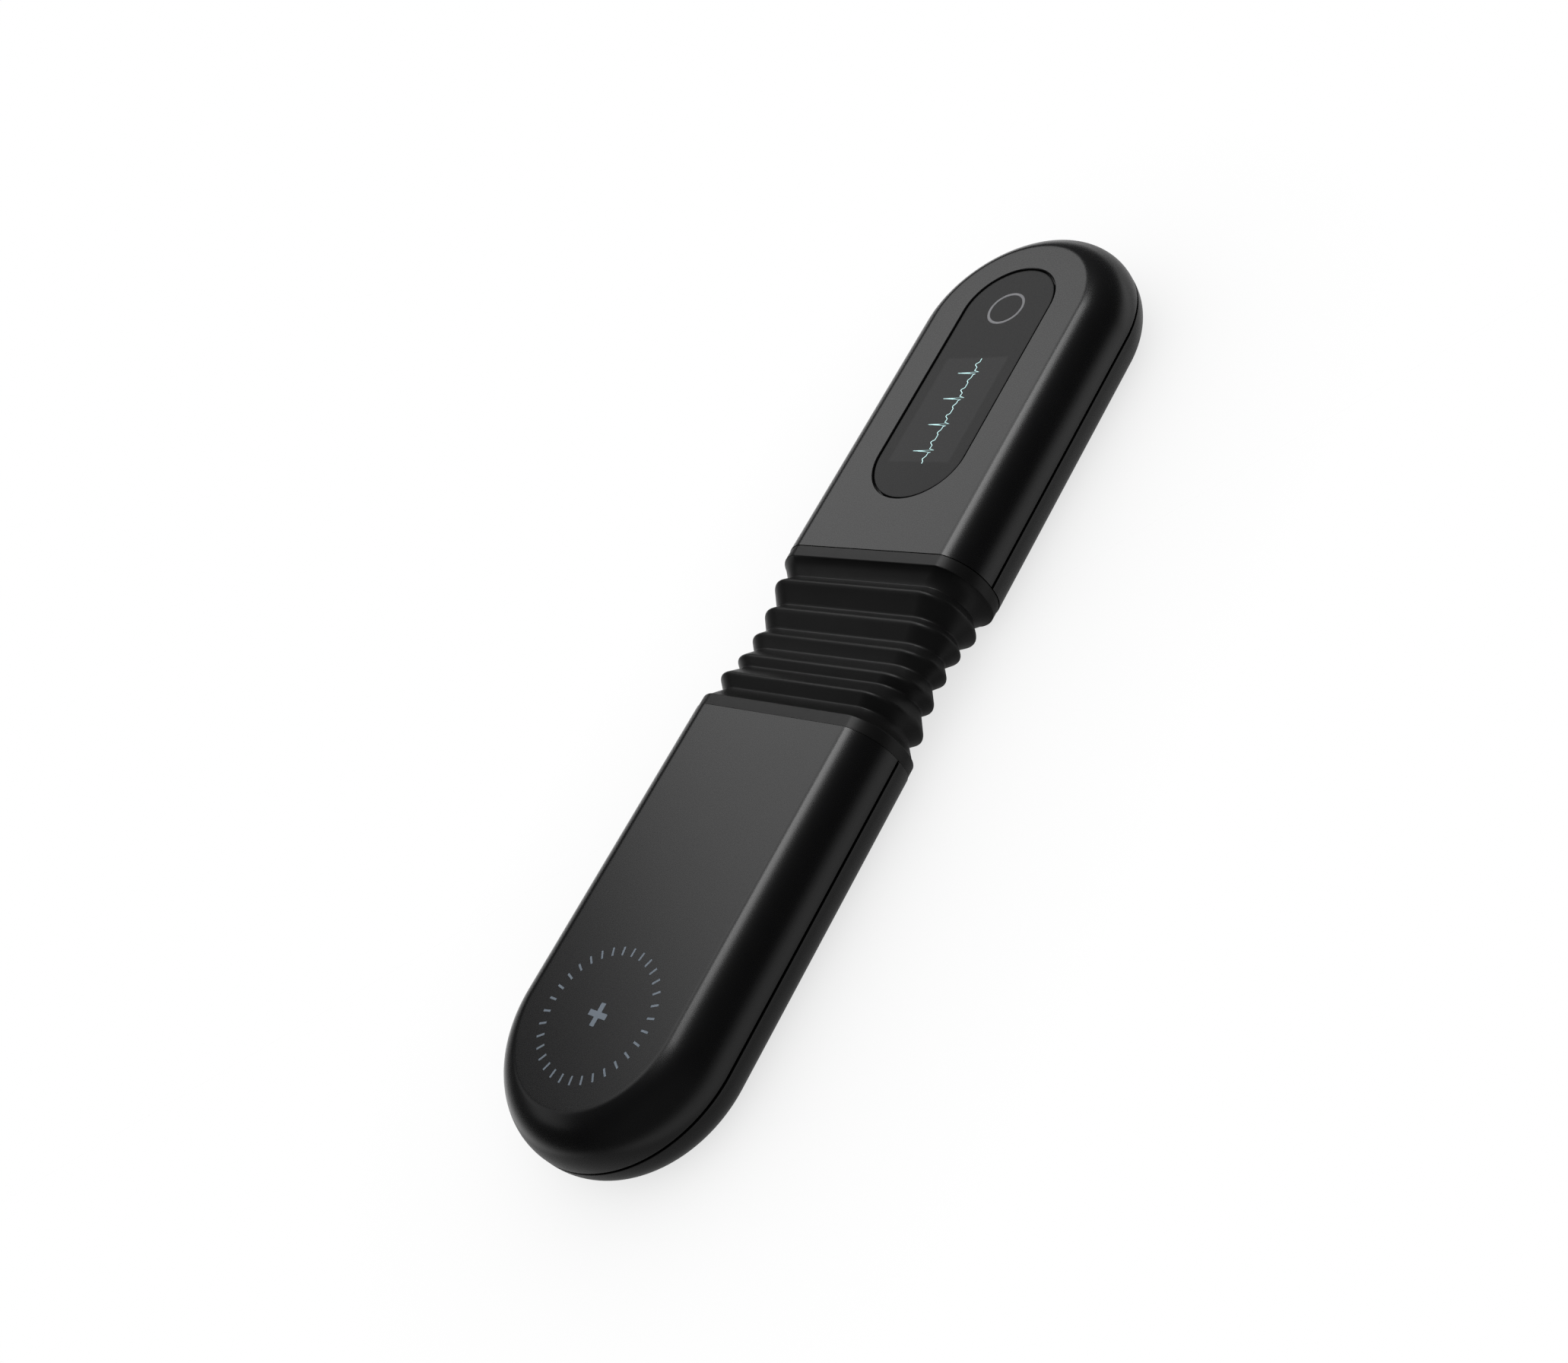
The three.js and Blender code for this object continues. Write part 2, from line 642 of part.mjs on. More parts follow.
// Boards
function board(side) {
  let sheet = plate(tongue(side, boardHalfWidth, boardStartY, boardTipCentreY), boardBottomZ, boardTopZ);
  const lowZ = boardBottomZ - overrun;
  const highZ = boardTopZ + overrun;
  for (const [x, y] of neckScrewPlaces(side)) {
    const outward = Math.sign(x);
    const edgeX = outward * (boardHalfWidth + overrun);
    const notch = coverBossRadius + fitGap;
    sheet = cut(sheet, uprightRod(notch, x, y, lowZ, highZ));
    sheet = cut(sheet, block(Math.min(x, edgeX), Math.max(x, edgeX), y - notch, y + notch, lowZ, highZ));
  }
  for (const [x, y] of boardScrewPlaces(side)) {
    sheet = cut(sheet, uprightRod(screwRadius + fitGap, x, y, lowZ, highZ));
  }
  return sheet;
}

function onBoard(x, y, width, length, height) {
  return block(x - width / 2, x + width / 2, y - length / 2, y + length / 2, boardTopZ, boardTopZ + height);
}

const panelConnectorY = panelNearY + fitGap + connectorDepth / 2;
const processorY = panelConnectorY + connectorDepth / 2 + chipGap + processorSize / 2;
const panelConnectorWidth = panelFlexWidth + 2 * panelConnectorMargin;
const memoryX = panelConnectorWidth / 2 + chipGap + memoryWidth / 2;
const memoryY = panelNearY + memoryLength / 2;
const radioY = boardScrewTipY - boardHeadRadius - chipGap - radioLength / 2;
const amplifierY = thumbPadY + amplifierPadDistance;
const chargerY = amplifierY + chargerAmplifierDistance;
addPiece("main_board", board(DISPLAY), boardGreen);
addPiece("processor_chip", onBoard(0, processorY, processorSize, processorSize, processorHeight), chipBlack);
addPiece("radio_module", onBoard(0, radioY, radioWidth, radioLength, radioHeight), steel);
addPiece("memory_chip", onBoard(memoryX, memoryY, memoryWidth, memoryLength, memoryHeight), chipBlack);
addPiece("electrode_board", board(ELECTRODE), boardGreen);
addPiece("amplifier_chip", onBoard(0, amplifierY, amplifierSize, amplifierSize, amplifierHeight), chipBlack);
addPiece("charger_chip", onBoard(chargerX, chargerY, chargerSize, chargerSize, chargerHeight), chipBlack);
addPiece("pad_light", onBoard(0, thumbPadY, padLightSize, padLightSize, padLightHeight), paleInk);

// Connectors for the ribbon cable between the boards
const connectorY = cableEndY + fitGap + connectorDepth / 2;
addPiece("main_board_connector", onBoard(
  cableX, connectorY, connectorWidth, connectorDepth, connectorHeight), innerPlastic);
addPiece("electrode_board_connector", onBoard(
  cableX, -connectorY, connectorWidth, connectorDepth, connectorHeight), innerPlastic);
addPiece("link_cable", block(
  cableX - cableWidth / 2, cableX + cableWidth / 2, -cableEndY, cableEndY,
  cableZ - flexThickness / 2, cableZ + flexThickness / 2), flexAmber);

// The display's flex: it lies under the panel, turns down past its end and enters its own connector
const flexOuterY = panelNearY - panelFlexReach;
const flexEndZ = boardTopZ + connectorHeight / 2;
const flexStartZ = panelBottomZ - flexThickness / 2;
const flexBendRadius = (flexStartZ - flexEndZ) * flexBendShare;

function flexLine(offset) {
  const radius = flexBendRadius + offset;
  const centreY = flexOuterY + flexThickness / 2 + flexBendRadius;
  const upperCentreZ = flexStartZ - flexBendRadius;
  const lowerCentreZ = flexEndZ + flexBendRadius;
  const line = [new THREE.Vector2(panelNearY + panelFlexLap, upperCentreZ + radius)];
  for (let i = 0; i <= smallBendSteps; i++) {
    const turn = rightAngle + (i / smallBendSteps) * rightAngle;
    line.push(new THREE.Vector2(centreY + radius * Math.cos(turn), upperCentreZ + radius * Math.sin(turn)));
  }
  for (let i = 0; i <= smallBendSteps; i++) {
    const turn = Math.PI + (i / smallBendSteps) * rightAngle;
    line.push(new THREE.Vector2(centreY + radius * Math.cos(turn), lowerCentreZ + radius * Math.sin(turn)));
  }
  line.push(new THREE.Vector2(panelNearY, lowerCentreZ - radius));
  return line;
}

const flexOuterLine = flexLine(flexThickness / 2);
const flexInnerLine = flexLine(-flexThickness / 2);
const flexOutline = [...flexOuterLine, ...flexInnerLine.toReversed()];
addPiece("display_flex", strip(flexOutline, -panelFlexWidth / 2, panelFlexWidth / 2), flexAmber);
addPiece("display_connector", onBoard(
  0, panelConnectorY, panelConnectorWidth, connectorDepth, connectorHeight), innerPlastic);

// Vibration motor on the display half's floor
addPiece("vibration_motor", uprightRod(
  motorRadius, 0, boardTipCentreY - motorSetback, floorZ, floorZ + motorHeight, pinSteps), steel);

// Spring contacts between the boards and the electrodes
addPiece("display_electrode_contact", uprightRod(
  contactRadius, 0, studY(DISPLAY), studHeight, boardBottomZ), gold);
addPiece("chest_electrode_contact", uprightRod(
  contactRadius, 0, studY(ELECTRODE), studHeight, boardBottomZ), gold);
const thumbPlateZ = ceilingZ - thumbPlateThickness;
const thumbPlateRadius = tickRingRadius - guideReach - thumbPlateGap;
const thumbPlateBore = markFlangeRadius + thumbPlateGap;
const thumbContactY = thumbPadY + (thumbPlateBore + thumbPlateRadius) / 2;
addPiece("thumb_electrode", cut(
  disc(thumbPlateRadius, thumbPlateZ, ceilingZ),
  disc(thumbPlateBore, thumbPlateZ - overrun, ceilingZ + overrun)), steel);
addPiece("thumb_contact", uprightRod(contactRadius, 0, thumbContactY, boardTopZ, thumbPlateZ), gold);

// Battery with its pad and leads, and the charging contacts
const batteryBottomZ = floorZ + batteryPadThickness;
const batteryTopZ = boardBottomZ - batteryBoardGap;
const batteryStartY = coverScrewNearY + coverBossRadius + batteryScrewGap;
const batteryEndY = chargePinY - chargePinRadius - batteryLeadRoom;
const batteryReach = halfWidth - batterySideRoom;
const padReach = batteryReach - batteryPadMargin;
addPiece("battery_cell", block(
  -batteryReach, batteryReach, -batteryEndY, -batteryStartY, batteryBottomZ, batteryTopZ), cellFoil);
addPiece("battery_pad", block(
  -padReach, padReach, -batteryEndY + batteryPadMargin, -batteryStartY - batteryPadMargin,
  floorZ, batteryBottomZ), tape);

function leadCore(x) {
  const startY = -batteryEndY - fitGap;
  const startZ = (batteryBottomZ + batteryTopZ) / 2;
  const endY = startY - leadRun;
  const endZ = boardBottomZ - fitGap;
  const path = new THREE.CubicBezierCurve3(
    new THREE.Vector3(x, startY, startZ),
    new THREE.Vector3(x, endY, startZ),
    new THREE.Vector3(x, endY, startZ),
    new THREE.Vector3(x, endY, endZ),
  );
  const section = new THREE.Shape();
  section.absarc(0, 0, leadRadius, 0, 2 * Math.PI, false);
  const options = { steps: leadSteps, curveSegments: leadSides, extrudePath: path, bevelEnabled: false };
  return solid(new THREE.ExtrudeGeometry(section, options));
}

addPiece("battery_lead", join(leadCore(-leadPitch / 2), leadCore(leadPitch / 2)), leadRed);
chargePlaces.forEach(([x, y], index) => addPiece(`charging_contact_${index + 1}`, join(
  uprightRod(chargePinRadius, x, y, 0, chargePinHeadHeight),
  uprightRod(chargePinNeckRadius, x, y, chargePinHeadHeight / 2, boardBottomZ),
), gold));

// Screws: a round head with a six-sided socket, and a plain shank
function coverScrew([x, y]) {
  const headTopZ = coverHeadSink + coverHeadHeight;
  const socketTopZ = coverHeadSink + coverHeadHeight * socketDepthShare;
  return cut(
    join(
      uprightRod(coverHeadRadius, x, y, coverHeadSink, headTopZ),
      uprightRod(screwRadius, x, y, coverHeadSink + coverHeadHeight / 2, upperRimZ + coverScrewReach)),
    uprightRod(coverHeadRadius * hexShare, x, y, coverHeadSink - overrun, socketTopZ, 6));
}

function boardScrew([x, y]) {
  const socketFloorZ = boardTopZ + boardHeadHeight * (1 - socketDepthShare);
  return cut(
    join(
      uprightRod(boardHeadRadius, x, y, boardTopZ, boardTopZ + boardHeadHeight),
      uprightRod(screwRadius, x, y, boardTopZ - boardScrewLength, boardTopZ + boardHeadHeight / 2)),
    uprightRod(boardHeadRadius * hexShare, x, y, socketFloorZ, boardTopZ + boardHeadHeight + overrun, 6));
}

function addScrews(half, boardName, side) {
  coverScrewPlaces(side).forEach((place, index) => {
    addPiece(`${half}_cover_screw_${index + 1}`, coverScrew(place), steel);
  });
  boardScrewPlaces(side).forEach((place, index) => {
    addPiece(`${boardName}_screw_${index + 1}`, boardScrew(place), steel);
  });
}

addScrews("display", "main_board", DISPLAY);
addScrews("electrode", "electrode_board", ELECTRODE);

// Bellows: a rubber sleeve with a rigid-looking collar at each end and evenly spaced ribs between.
// Its ribs keep their width but grow thinner towards the middle, like a waist.
const ribbedLength = sleeveLength - 2 * collarLength;
const ribPitch = ribbedLength / (ribCount + 1);
const ribHalfWidth = halfWidth - ribSideInset;
const endHalfHeight = midZ - endCrestInset;
const endValleyHalfHeight = midZ - endValleyInset;
const waistValleyHalfHeight = cableZ - midZ + flexThickness / 2 + waistRoom + sleeveWall;
const waistHalfHeight = waistValleyHalfHeight + waistRibDepth;
const spigotHalfWidth = halfWidth - spigotSideInset;
const spigotHalfHeight = midZ - spigotTopInset;

function wayOut(y) {
  return Math.min(1, Math.abs(y) / (ribbedLength / 2));
}

function crestRing(y) {
  const climb = THREE.MathUtils.smootherstep(wayOut(y), 0, 1);
  const halfHeight = waistHalfHeight + (endHalfHeight - waistHalfHeight) * climb;
  return sectionRing(ribQuarter(ribHalfWidth, halfHeight, ribCornerWidth), y);
}

function valleyRing(y, inset = 0) {
  const climb = (endValleyHalfHeight - waistValleyHalfHeight) * wayOut(y);
  const halfHeight = waistValleyHalfHeight + climb - inset;
  return sectionRing(ribQuarter(ribHalfWidth - ribSideDepth - inset, halfHeight, ribCornerWidth), y);
}

function bellows() {
  const endY = seamY - seamGap / 2;
  const shoulderY = ribbedLength / 2;
  const spigotBoreY = seamY - spigotLength - fitGap;
  const spigotRing = (y) => sectionRing(
    ribQuarter(spigotHalfWidth + fitGap, spigotHalfHeight + fitGap, ribCornerWidth), y);
  const outside = [
    sectionRing(sectionQuarter(collarInset), endY),
    sectionRing(sectionQuarter(collarInset), shoulderY + collarEdgeRadius),
    sectionRing(sectionQuarter(collarInset + collarEdgeRadius), shoulderY),
  ];
  for (let rib = 0; rib <= ribCount; rib++) {
    const valleyY = shoulderY - (rib + 1 / 2) * ribPitch;
    outside.push(valleyRing(valleyY + valleyLand), valleyRing(valleyY - valleyLand));
    if (rib < ribCount) {
      const crestY = valleyY - ribPitch / 2;
      outside.push(crestRing(crestY + crestLand), crestRing(crestY - crestLand));
    }
  }
  outside.push(...outside.slice(0, 3).toReversed().map((ring) => ring.map(
    (point) => new THREE.Vector3(point.x, -point.y, point.z))));
  const inside = [spigotRing(-endY), spigotRing(-spigotBoreY)];
  for (let rib = ribCount - 1; rib >= 0; rib--) {
    inside.push(valleyRing(shoulderY - (rib + 1) * ribPitch, sleeveWall));
  }
  inside.push(spigotRing(spigotBoreY), spigotRing(endY));
  return loft([...outside, ...inside], true);
}

addPiece("bellows", bellows(), softRubber);

// Neck frames: each plugs a rigid half's open end and holds the bellows on a spigot
const spigotFaceY = seamY - spigotLength;

function neck(side) {
  const plugQuarter = sectionQuarter(wall + fitGap);
  const spigotQuarter = ribQuarter(spigotHalfWidth, spigotHalfHeight, ribCornerWidth);
  const plug = loft([
    sectionRing(plugQuarter, side * podStartY),
    sectionRing(plugQuarter, side * (podStartY + plugDepth)),
  ]);
  const spigot = loft([
    sectionRing(spigotQuarter, side * spigotFaceY),
    sectionRing(spigotQuarter, side * (podStartY + plugDepth / 2)),
  ]);
  const slotReach = cableWidth / 2 + fitGap;
  const slotRise = flexThickness / 2 + fitGap;
  const slotEnds = [side * (spigotFaceY - overrun), side * (podStartY + plugDepth + overrun)];
  const cableSlot = block(
    cableX - slotReach, cableX + slotReach, Math.min(...slotEnds), Math.max(...slotEnds),
    cableZ - slotRise, cableZ + slotRise);
  return cut(join(plug, spigot), cableSlot);
}

// Display side: two arms that reach to the bend pins
const armInnerX = linkHalfWidth + fitGap;
const armOuterX = armInnerX + armWidth;

function arm(direction) {
  const ends = [direction * armInnerX, direction * armOuterX];
  const lowX = Math.min(...ends);
  const highX = Math.max(...ends);
  return cut(
    join(
      block(lowX, highX, 0, seamY, midZ - armHalfHeight, midZ + armHalfHeight),
      crossRod(armHalfHeight, lowX, highX, 0, midZ)),
    crossRod(bendPinRadius + fitGap, lowX - overrun, highX + overrun, 0, midZ));
}

addPiece("display_neck_frame", join(neck(DISPLAY), arm(1), arm(-1)), innerPlastic);

// Electrode side: a bar that ends in a fork about the swing pin
const forkSlotRise = linkHalfThickness + forkGap;
const forkLowZ = midZ - forkHalfHeight;
const forkHighZ = midZ + forkHalfHeight;
const forkCutX = barHalfWidth + overrun;
const fork = cut(
  join(
    block(-barHalfWidth, barHalfWidth, -seamY, 0, forkLowZ, forkHighZ),
    uprightRod(barHalfWidth, 0, 0, forkLowZ, forkHighZ, pinSteps)),
  block(-forkCutX, forkCutX, -forkSlotDepth, forkCutX, midZ - forkSlotRise, midZ + forkSlotRise),
  uprightRod(swingPinRadius + fitGap, 0, 0, forkLowZ - overrun, forkHighZ + overrun, pinSteps));
addPiece("electrode_neck_frame", join(neck(ELECTRODE), fork), innerPlastic);

// Link between the two: it bends on the display side's pins and swings in the electrode side's fork
function linkBoss(direction) {
  const ends = [direction * (linkHalfWidth - linkBossLength), direction * linkHalfWidth];
  return crossRod(armHalfHeight, Math.min(...ends), Math.max(...ends), 0, midZ);
}

function bendPin(direction) {
  const ends = [direction * (linkHalfWidth - bendPinSink), direction * armOuterX];
  return crossRod(bendPinRadius, Math.min(...ends), Math.max(...ends), 0, midZ);
}

function bendPinBore(direction) {
  const ends = [
    direction * (linkHalfWidth - bendPinSink - fitGap),
    direction * (linkHalfWidth + overrun),
  ];
  return crossRod(bendPinRadius + fitGap, Math.min(...ends), Math.max(...ends), 0, midZ);
}

const linkLowZ = midZ - linkHalfThickness;
const linkHighZ = midZ + linkHalfThickness;
const linkPlate = join(
  block(-linkHalfWidth, linkHalfWidth, -armHalfHeight, armHalfHeight, linkLowZ, linkHighZ),
  uprightRod(barHalfWidth - fitGap, 0, 0, linkLowZ, linkHighZ, pinSteps));
addPiece("swivel_link", cut(
  join(linkPlate, linkBoss(1), linkBoss(-1)),
  bendPinBore(1), bendPinBore(-1),
  uprightRod(swingPinRadius + fitGap, 0, 0, midZ - overrun, midZ + overrun, pinSteps),
), steel);
addPiece("left_bend_pin", bendPin(-1), steel);
addPiece("right_bend_pin", bendPin(1), steel);
addPiece("swing_pin", uprightRod(swingPinRadius, 0, 0, forkLowZ, forkHighZ, pinSteps), steel);

export default model;
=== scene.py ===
"""A hand-held heart recorder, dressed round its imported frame.

Lengths are in metres. X is the width, +Y runs towards the display end and +Z is up.
"""

import math

import bpy
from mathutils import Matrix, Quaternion, Vector


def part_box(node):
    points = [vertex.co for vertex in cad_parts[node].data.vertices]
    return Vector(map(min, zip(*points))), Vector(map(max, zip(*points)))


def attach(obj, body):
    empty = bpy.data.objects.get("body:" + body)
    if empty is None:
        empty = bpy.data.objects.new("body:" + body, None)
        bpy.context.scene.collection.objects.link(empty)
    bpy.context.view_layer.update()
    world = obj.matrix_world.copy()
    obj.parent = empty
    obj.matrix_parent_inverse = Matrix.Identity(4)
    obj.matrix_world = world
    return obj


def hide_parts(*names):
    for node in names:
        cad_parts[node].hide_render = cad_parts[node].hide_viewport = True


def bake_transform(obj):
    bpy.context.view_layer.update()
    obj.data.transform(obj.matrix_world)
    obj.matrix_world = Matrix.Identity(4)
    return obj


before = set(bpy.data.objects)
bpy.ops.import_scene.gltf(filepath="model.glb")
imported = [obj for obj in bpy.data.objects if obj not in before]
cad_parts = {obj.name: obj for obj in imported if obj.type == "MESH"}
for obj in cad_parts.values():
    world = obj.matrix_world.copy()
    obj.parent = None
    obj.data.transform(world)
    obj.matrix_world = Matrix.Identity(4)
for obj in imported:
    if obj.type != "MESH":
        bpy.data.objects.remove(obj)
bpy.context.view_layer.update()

# Units and turns
MM = 0.001
FULL_TURN = 2 * math.pi
HALF_TURN = math.pi
RIGHT_ANGLE = math.pi / 2

# Places and sizes that the frame gives
display_low, display_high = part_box("display_top_shell")
window_low, window_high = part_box("display_window")
HALF_WIDTH = display_high.x
TOP_Z = display_high.z
MID_Z = TOP_Z / 2
SEAM_Y = display_low.y
TIP_CENTRE_Y = display_high.y - HALF_WIDTH
RIM_RISE = display_low.z - MID_Z

# The rigid halves' section
SIDE_RADIUS = 7.5 * MM
CREASE_RADIUS = 2.4 * MM
CREASE_ANGLE = math.radians(20)
WALL = 1.8 * MM
EDGE_SOFTENING = 0.12 * MM
FLAT_MARGIN = 0.3 * MM

# Centres of the section's two arcs, across and above the middle
SIDE_X = HALF_WIDTH - SIDE_RADIUS
CREASE_RISE = MID_Z - CREASE_RADIUS
CREASE_X = SIDE_X + (SIDE_RADIUS - CREASE_RADIUS) * math.sin(CREASE_ANGLE)
SIDE_RISE = CREASE_RISE - (SIDE_RADIUS - CREASE_RADIUS) * math.cos(CREASE_ANGLE)

# How finely round shapes are divided
SIDE_STEPS = 26
CREASE_STEPS = 10
INSIDE_STEPS = 8
TIP_STEPS = 72
EDGE_STEPS = 4
RING_STEPS = 96
SCREW_STEPS = 48
HOLE_STEPS = 40

# Points nearer than this are one point, and places nearer than this are one place
MERGE_REACH = 0.002 * MM
SAME_PLACE = 0.001 * MM


# The camera, lamps and floor

def add_camera():
    """Look down on the recorder from its right and front, with the picture's top turned to one side."""
    place = Vector((182.2, -103.9, 178.6)) * MM
    aim = Vector((-9.8, -5.3, 7.7)) * MM
    roll = math.radians(-42.24)
    data = bpy.data.cameras.new("camera")
    data.lens = 40.51
    data.sensor_width = 36
    data.clip_start = 10 * MM
    camera = bpy.data.objects.new("camera", data)
    camera.location = place
    camera.rotation_mode = "QUATERNION"
    camera.rotation_quaternion = (aim - place).to_track_quat("-Z", "Y") @ Quaternion((0, 0, 1), roll)
    bpy.context.collection.objects.link(camera)
    bpy.context.scene.camera = camera


def add_softbox(name, x, y, width, length, power, turn=0):
    """A level panel that shines straight down, turned about the upright."""
    height = 0.6
    data = bpy.data.lights.new(name, "AREA")
    data.shape = "RECTANGLE"
    data.size = width
    data.size_y = length
    data.energy = power
    lamp = bpy.data.objects.new(name, data)
    lamp.location = (x, y, height)
    lamp.rotation_euler = (0, 0, turn)
    bpy.context.collection.objects.link(lamp)


def arithmetic(nodes, links, operation, *values):
    """A sum of one socket or two."""
    sum_node = nodes.new("ShaderNodeMath")
    sum_node.operation = operation
    for value, socket in zip(values, sum_node.inputs):
        links.new(value, socket)
    return sum_node.outputs[0]


def ramp_between(nodes, links, value, start, end, first, last):
    """Turn smoothly from the first number to the last as a value goes from start to end."""
    ramp = nodes.new("ShaderNodeMapRange")
    ramp.interpolation_type = "SMOOTHSTEP"
    ramp.inputs["From Min"].default_value = start
    ramp.inputs["From Max"].default_value = end
    ramp.inputs["To Min"].default_value = first
    ramp.inputs["To Max"].default_value = last
    links.new(value, ramp.inputs["Value"])
    return ramp.outputs["Result"]


def seen_directly(nodes, links):
    """One for rays from the camera and rays that pass through a piece, and zero for every other ray."""
    path = nodes.new("ShaderNodeLightPath").outputs
    return arithmetic(nodes, links, "MAXIMUM", path["Is Camera Ray"], path["Is Transmission Ray"])


def choose(nodes, links, share, first, second):
    """The first shader where the share is zero, and the second where it is one."""
    mix = nodes.new("ShaderNodeMixShader")
    links.new(share, mix.inputs["Fac"])
    links.new(first, mix.inputs[1])
    links.new(second, mix.inputs[2])
    return mix.outputs[0]


def light_world():
    """A dim grey room with one paler wall, far to the right and front. The camera sees it all as white."""
    room_level = 0.05
    wall_level = 0.2
    wall_direction = (0.66, -0.72, 0.2)
    wall_edge = math.cos(math.radians(60))
    wall_middle = math.cos(math.radians(18))
    world = bpy.data.worlds.new("studio")
    bpy.context.scene.world = world
    world.use_nodes = True
    nodes = world.node_tree.nodes
    links = world.node_tree.links
    nodes.clear()
    facing = nodes.new("ShaderNodeVectorMath")
    facing.operation = "DOT_PRODUCT"
    facing.inputs[1].default_value = wall_direction
    links.new(nodes.new("ShaderNodeTexCoord").outputs["Generated"], facing.inputs[0])
    level = ramp_between(
        nodes, links, facing.outputs["Value"], wall_edge, wall_middle, room_level, wall_level)
    room = nodes.new("ShaderNodeBackground")
    room.inputs["Color"].default_value = (1, 1, 1, 1)
    links.new(level, room.inputs["Strength"])
    white = nodes.new("ShaderNodeBackground")
    white.inputs["Color"].default_value = (1, 1, 1, 1)
    output = nodes.new("ShaderNodeOutputWorld")
    seen = choose(nodes, links, seen_directly(nodes, links), room.outputs[0], white.outputs[0])
    links.new(seen, output.inputs["Surface"])


def add_floor():
    """A pale floor that the camera sees as the white room with the recorder's soft shadow on it.

    The half that bends down past the floor still shows, and the lamps reach it there. A reflection
    sees only a part of the white, because the recorder's lower sides are near black. It is brightest
    in a strip along each side of the recorder.
    """
    drop = 0.02 * MM
    shadow_reach = 40 * MM
    shadow_depth = 0.3
    shadow_samples = 16
    near_glow = 0.25
    strip_glow = 0.85
    strip_start = HALF_WIDTH + 4 * MM
    strip_full = HALF_WIDTH + 13 * MM
    far_share = 0.3
    fading_start = HALF_WIDTH + 25 * MM
    fading_end = HALF_WIDTH + 75 * MM
    floor_size = 24
    bpy.ops.mesh.primitive_plane_add(size=floor_size, location=(0, 0, -drop))
    floor = bpy.context.object
    floor.name = "floor"
    material = bpy.data.materials.new("pale_floor")
    material.use_nodes = True
    nodes = material.node_tree.nodes
    links = material.node_tree.links
    nodes.clear()
    paper = nodes.new("ShaderNodeBsdfDiffuse")
    paper.inputs["Color"].default_value = (0.24, 0.24, 0.24, 1)
    path = nodes.new("ShaderNodeLightPath").outputs
    axes = nodes.new("ShaderNodeSeparateXYZ")
    links.new(nodes.new("ShaderNodeTexCoord").outputs["Object"], axes.inputs[0])
    aside = arithmetic(nodes, links, "ABSOLUTE", axes.outputs["X"])
    strip = ramp_between(nodes, links, aside, strip_start, strip_full, near_glow, strip_glow)
    fading = ramp_between(nodes, links, aside, fading_start, fading_end, 1, far_share)
    level = arithmetic(nodes, links, "MULTIPLY", strip, fading)
    glow = nodes.new("ShaderNodeEmission")
    links.new(arithmetic(nodes, links, "MULTIPLY", path["Is Glossy Ray"], level), glow.inputs["Strength"])
    lit_paper = nodes.new("ShaderNodeAddShader")
    links.new(paper.outputs[0], lit_paper.inputs[0])
    links.new(glow.outputs[0], lit_paper.inputs[1])
    openness = nodes.new("ShaderNodeAmbientOcclusion")
    openness.samples = shadow_samples
    openness.inputs["Distance"].default_value = shadow_reach
    shadow = nodes.new("ShaderNodeMapRange")
    shadow.inputs["To Min"].default_value = 1 - shadow_depth
    links.new(openness.outputs["AO"], shadow.inputs["Value"])
    shaded_white = nodes.new("ShaderNodeBsdfTransparent")
    links.new(shadow.outputs["Result"], shaded_white.inputs["Color"])
    clear = nodes.new("ShaderNodeBsdfTransparent")
    above = choose(nodes, links, seen_directly(nodes, links), lit_paper.outputs[0], shaded_white.outputs[0])
    underneath = nodes.new("ShaderNodeNewGeometry").outputs["Backfacing"]
    let_through = arithmetic(nodes, links, "MAXIMUM", underneath, path["Is Shadow Ray"])
    output = nodes.new("ShaderNodeOutputMaterial")
    links.new(choose(nodes, links, let_through, above, clear.outputs[0]), output.inputs["Surface"])
    floor.data.materials.append(material)


add_camera()
light_world()
add_floor()
add_softbox("overhead_softbox", x=-0.03, y=0.275, width=0.2, length=0.51, power=3.6)
add_softbox("side_softbox", x=-0.58, y=0.445, width=0.56, length=0.85, power=4.3, turn=math.radians(45))
add_softbox("near_softbox", x=-0.297, y=0.014, width=0.35, length=0.16, power=0.3, turn=math.radians(45))
add_softbox("front_softbox", x=-0.8, y=-0.45, width=0.6, length=0.7, power=1.2)
bpy.context.scene.view_settings.view_transform = "Standard"


# Finishes
NOISE_LOW = 0.3
NOISE_HIGH = 0.7


def start_material(name):
    material = bpy.data.materials.new(name)
    material.use_nodes = True
    nodes = material.node_tree.nodes
    links = material.node_tree.links
    shader = nodes["Principled BSDF"]
    place = nodes.new("ShaderNodeTexCoord").outputs["Object"]
    return material, nodes, links, shader, place


def stretched(nodes, links, place, scale):
    mapping = nodes.new("ShaderNodeMapping")
    mapping.inputs["Scale"].default_value = scale
    links.new(place, mapping.inputs["Vector"])
    return mapping.outputs["Vector"]


def noise(nodes, links, place, grain, detail=2):
    """A noise whose lumps are about one grain across."""
    texture = nodes.new("ShaderNodeTexNoise")
    texture.inputs["Scale"].default_value = 1 / grain
    texture.inputs["Detail"].default_value = detail
    links.new(place, texture.inputs["Vector"])
    return texture.outputs["Fac"]


def between(nodes, links, share, low, high):
    """Follow a share from a low value to a high one."""
    span = nodes.new("ShaderNodeMapRange")
    span.inputs["From Min"].default_value = NOISE_LOW
    span.inputs["From Max"].default_value = NOISE_HIGH
    span.inputs["To Min"].default_value = low
    span.inputs["To Max"].default_value = high
    links.new(share, span.inputs["Value"])
    return span.outputs["Result"]


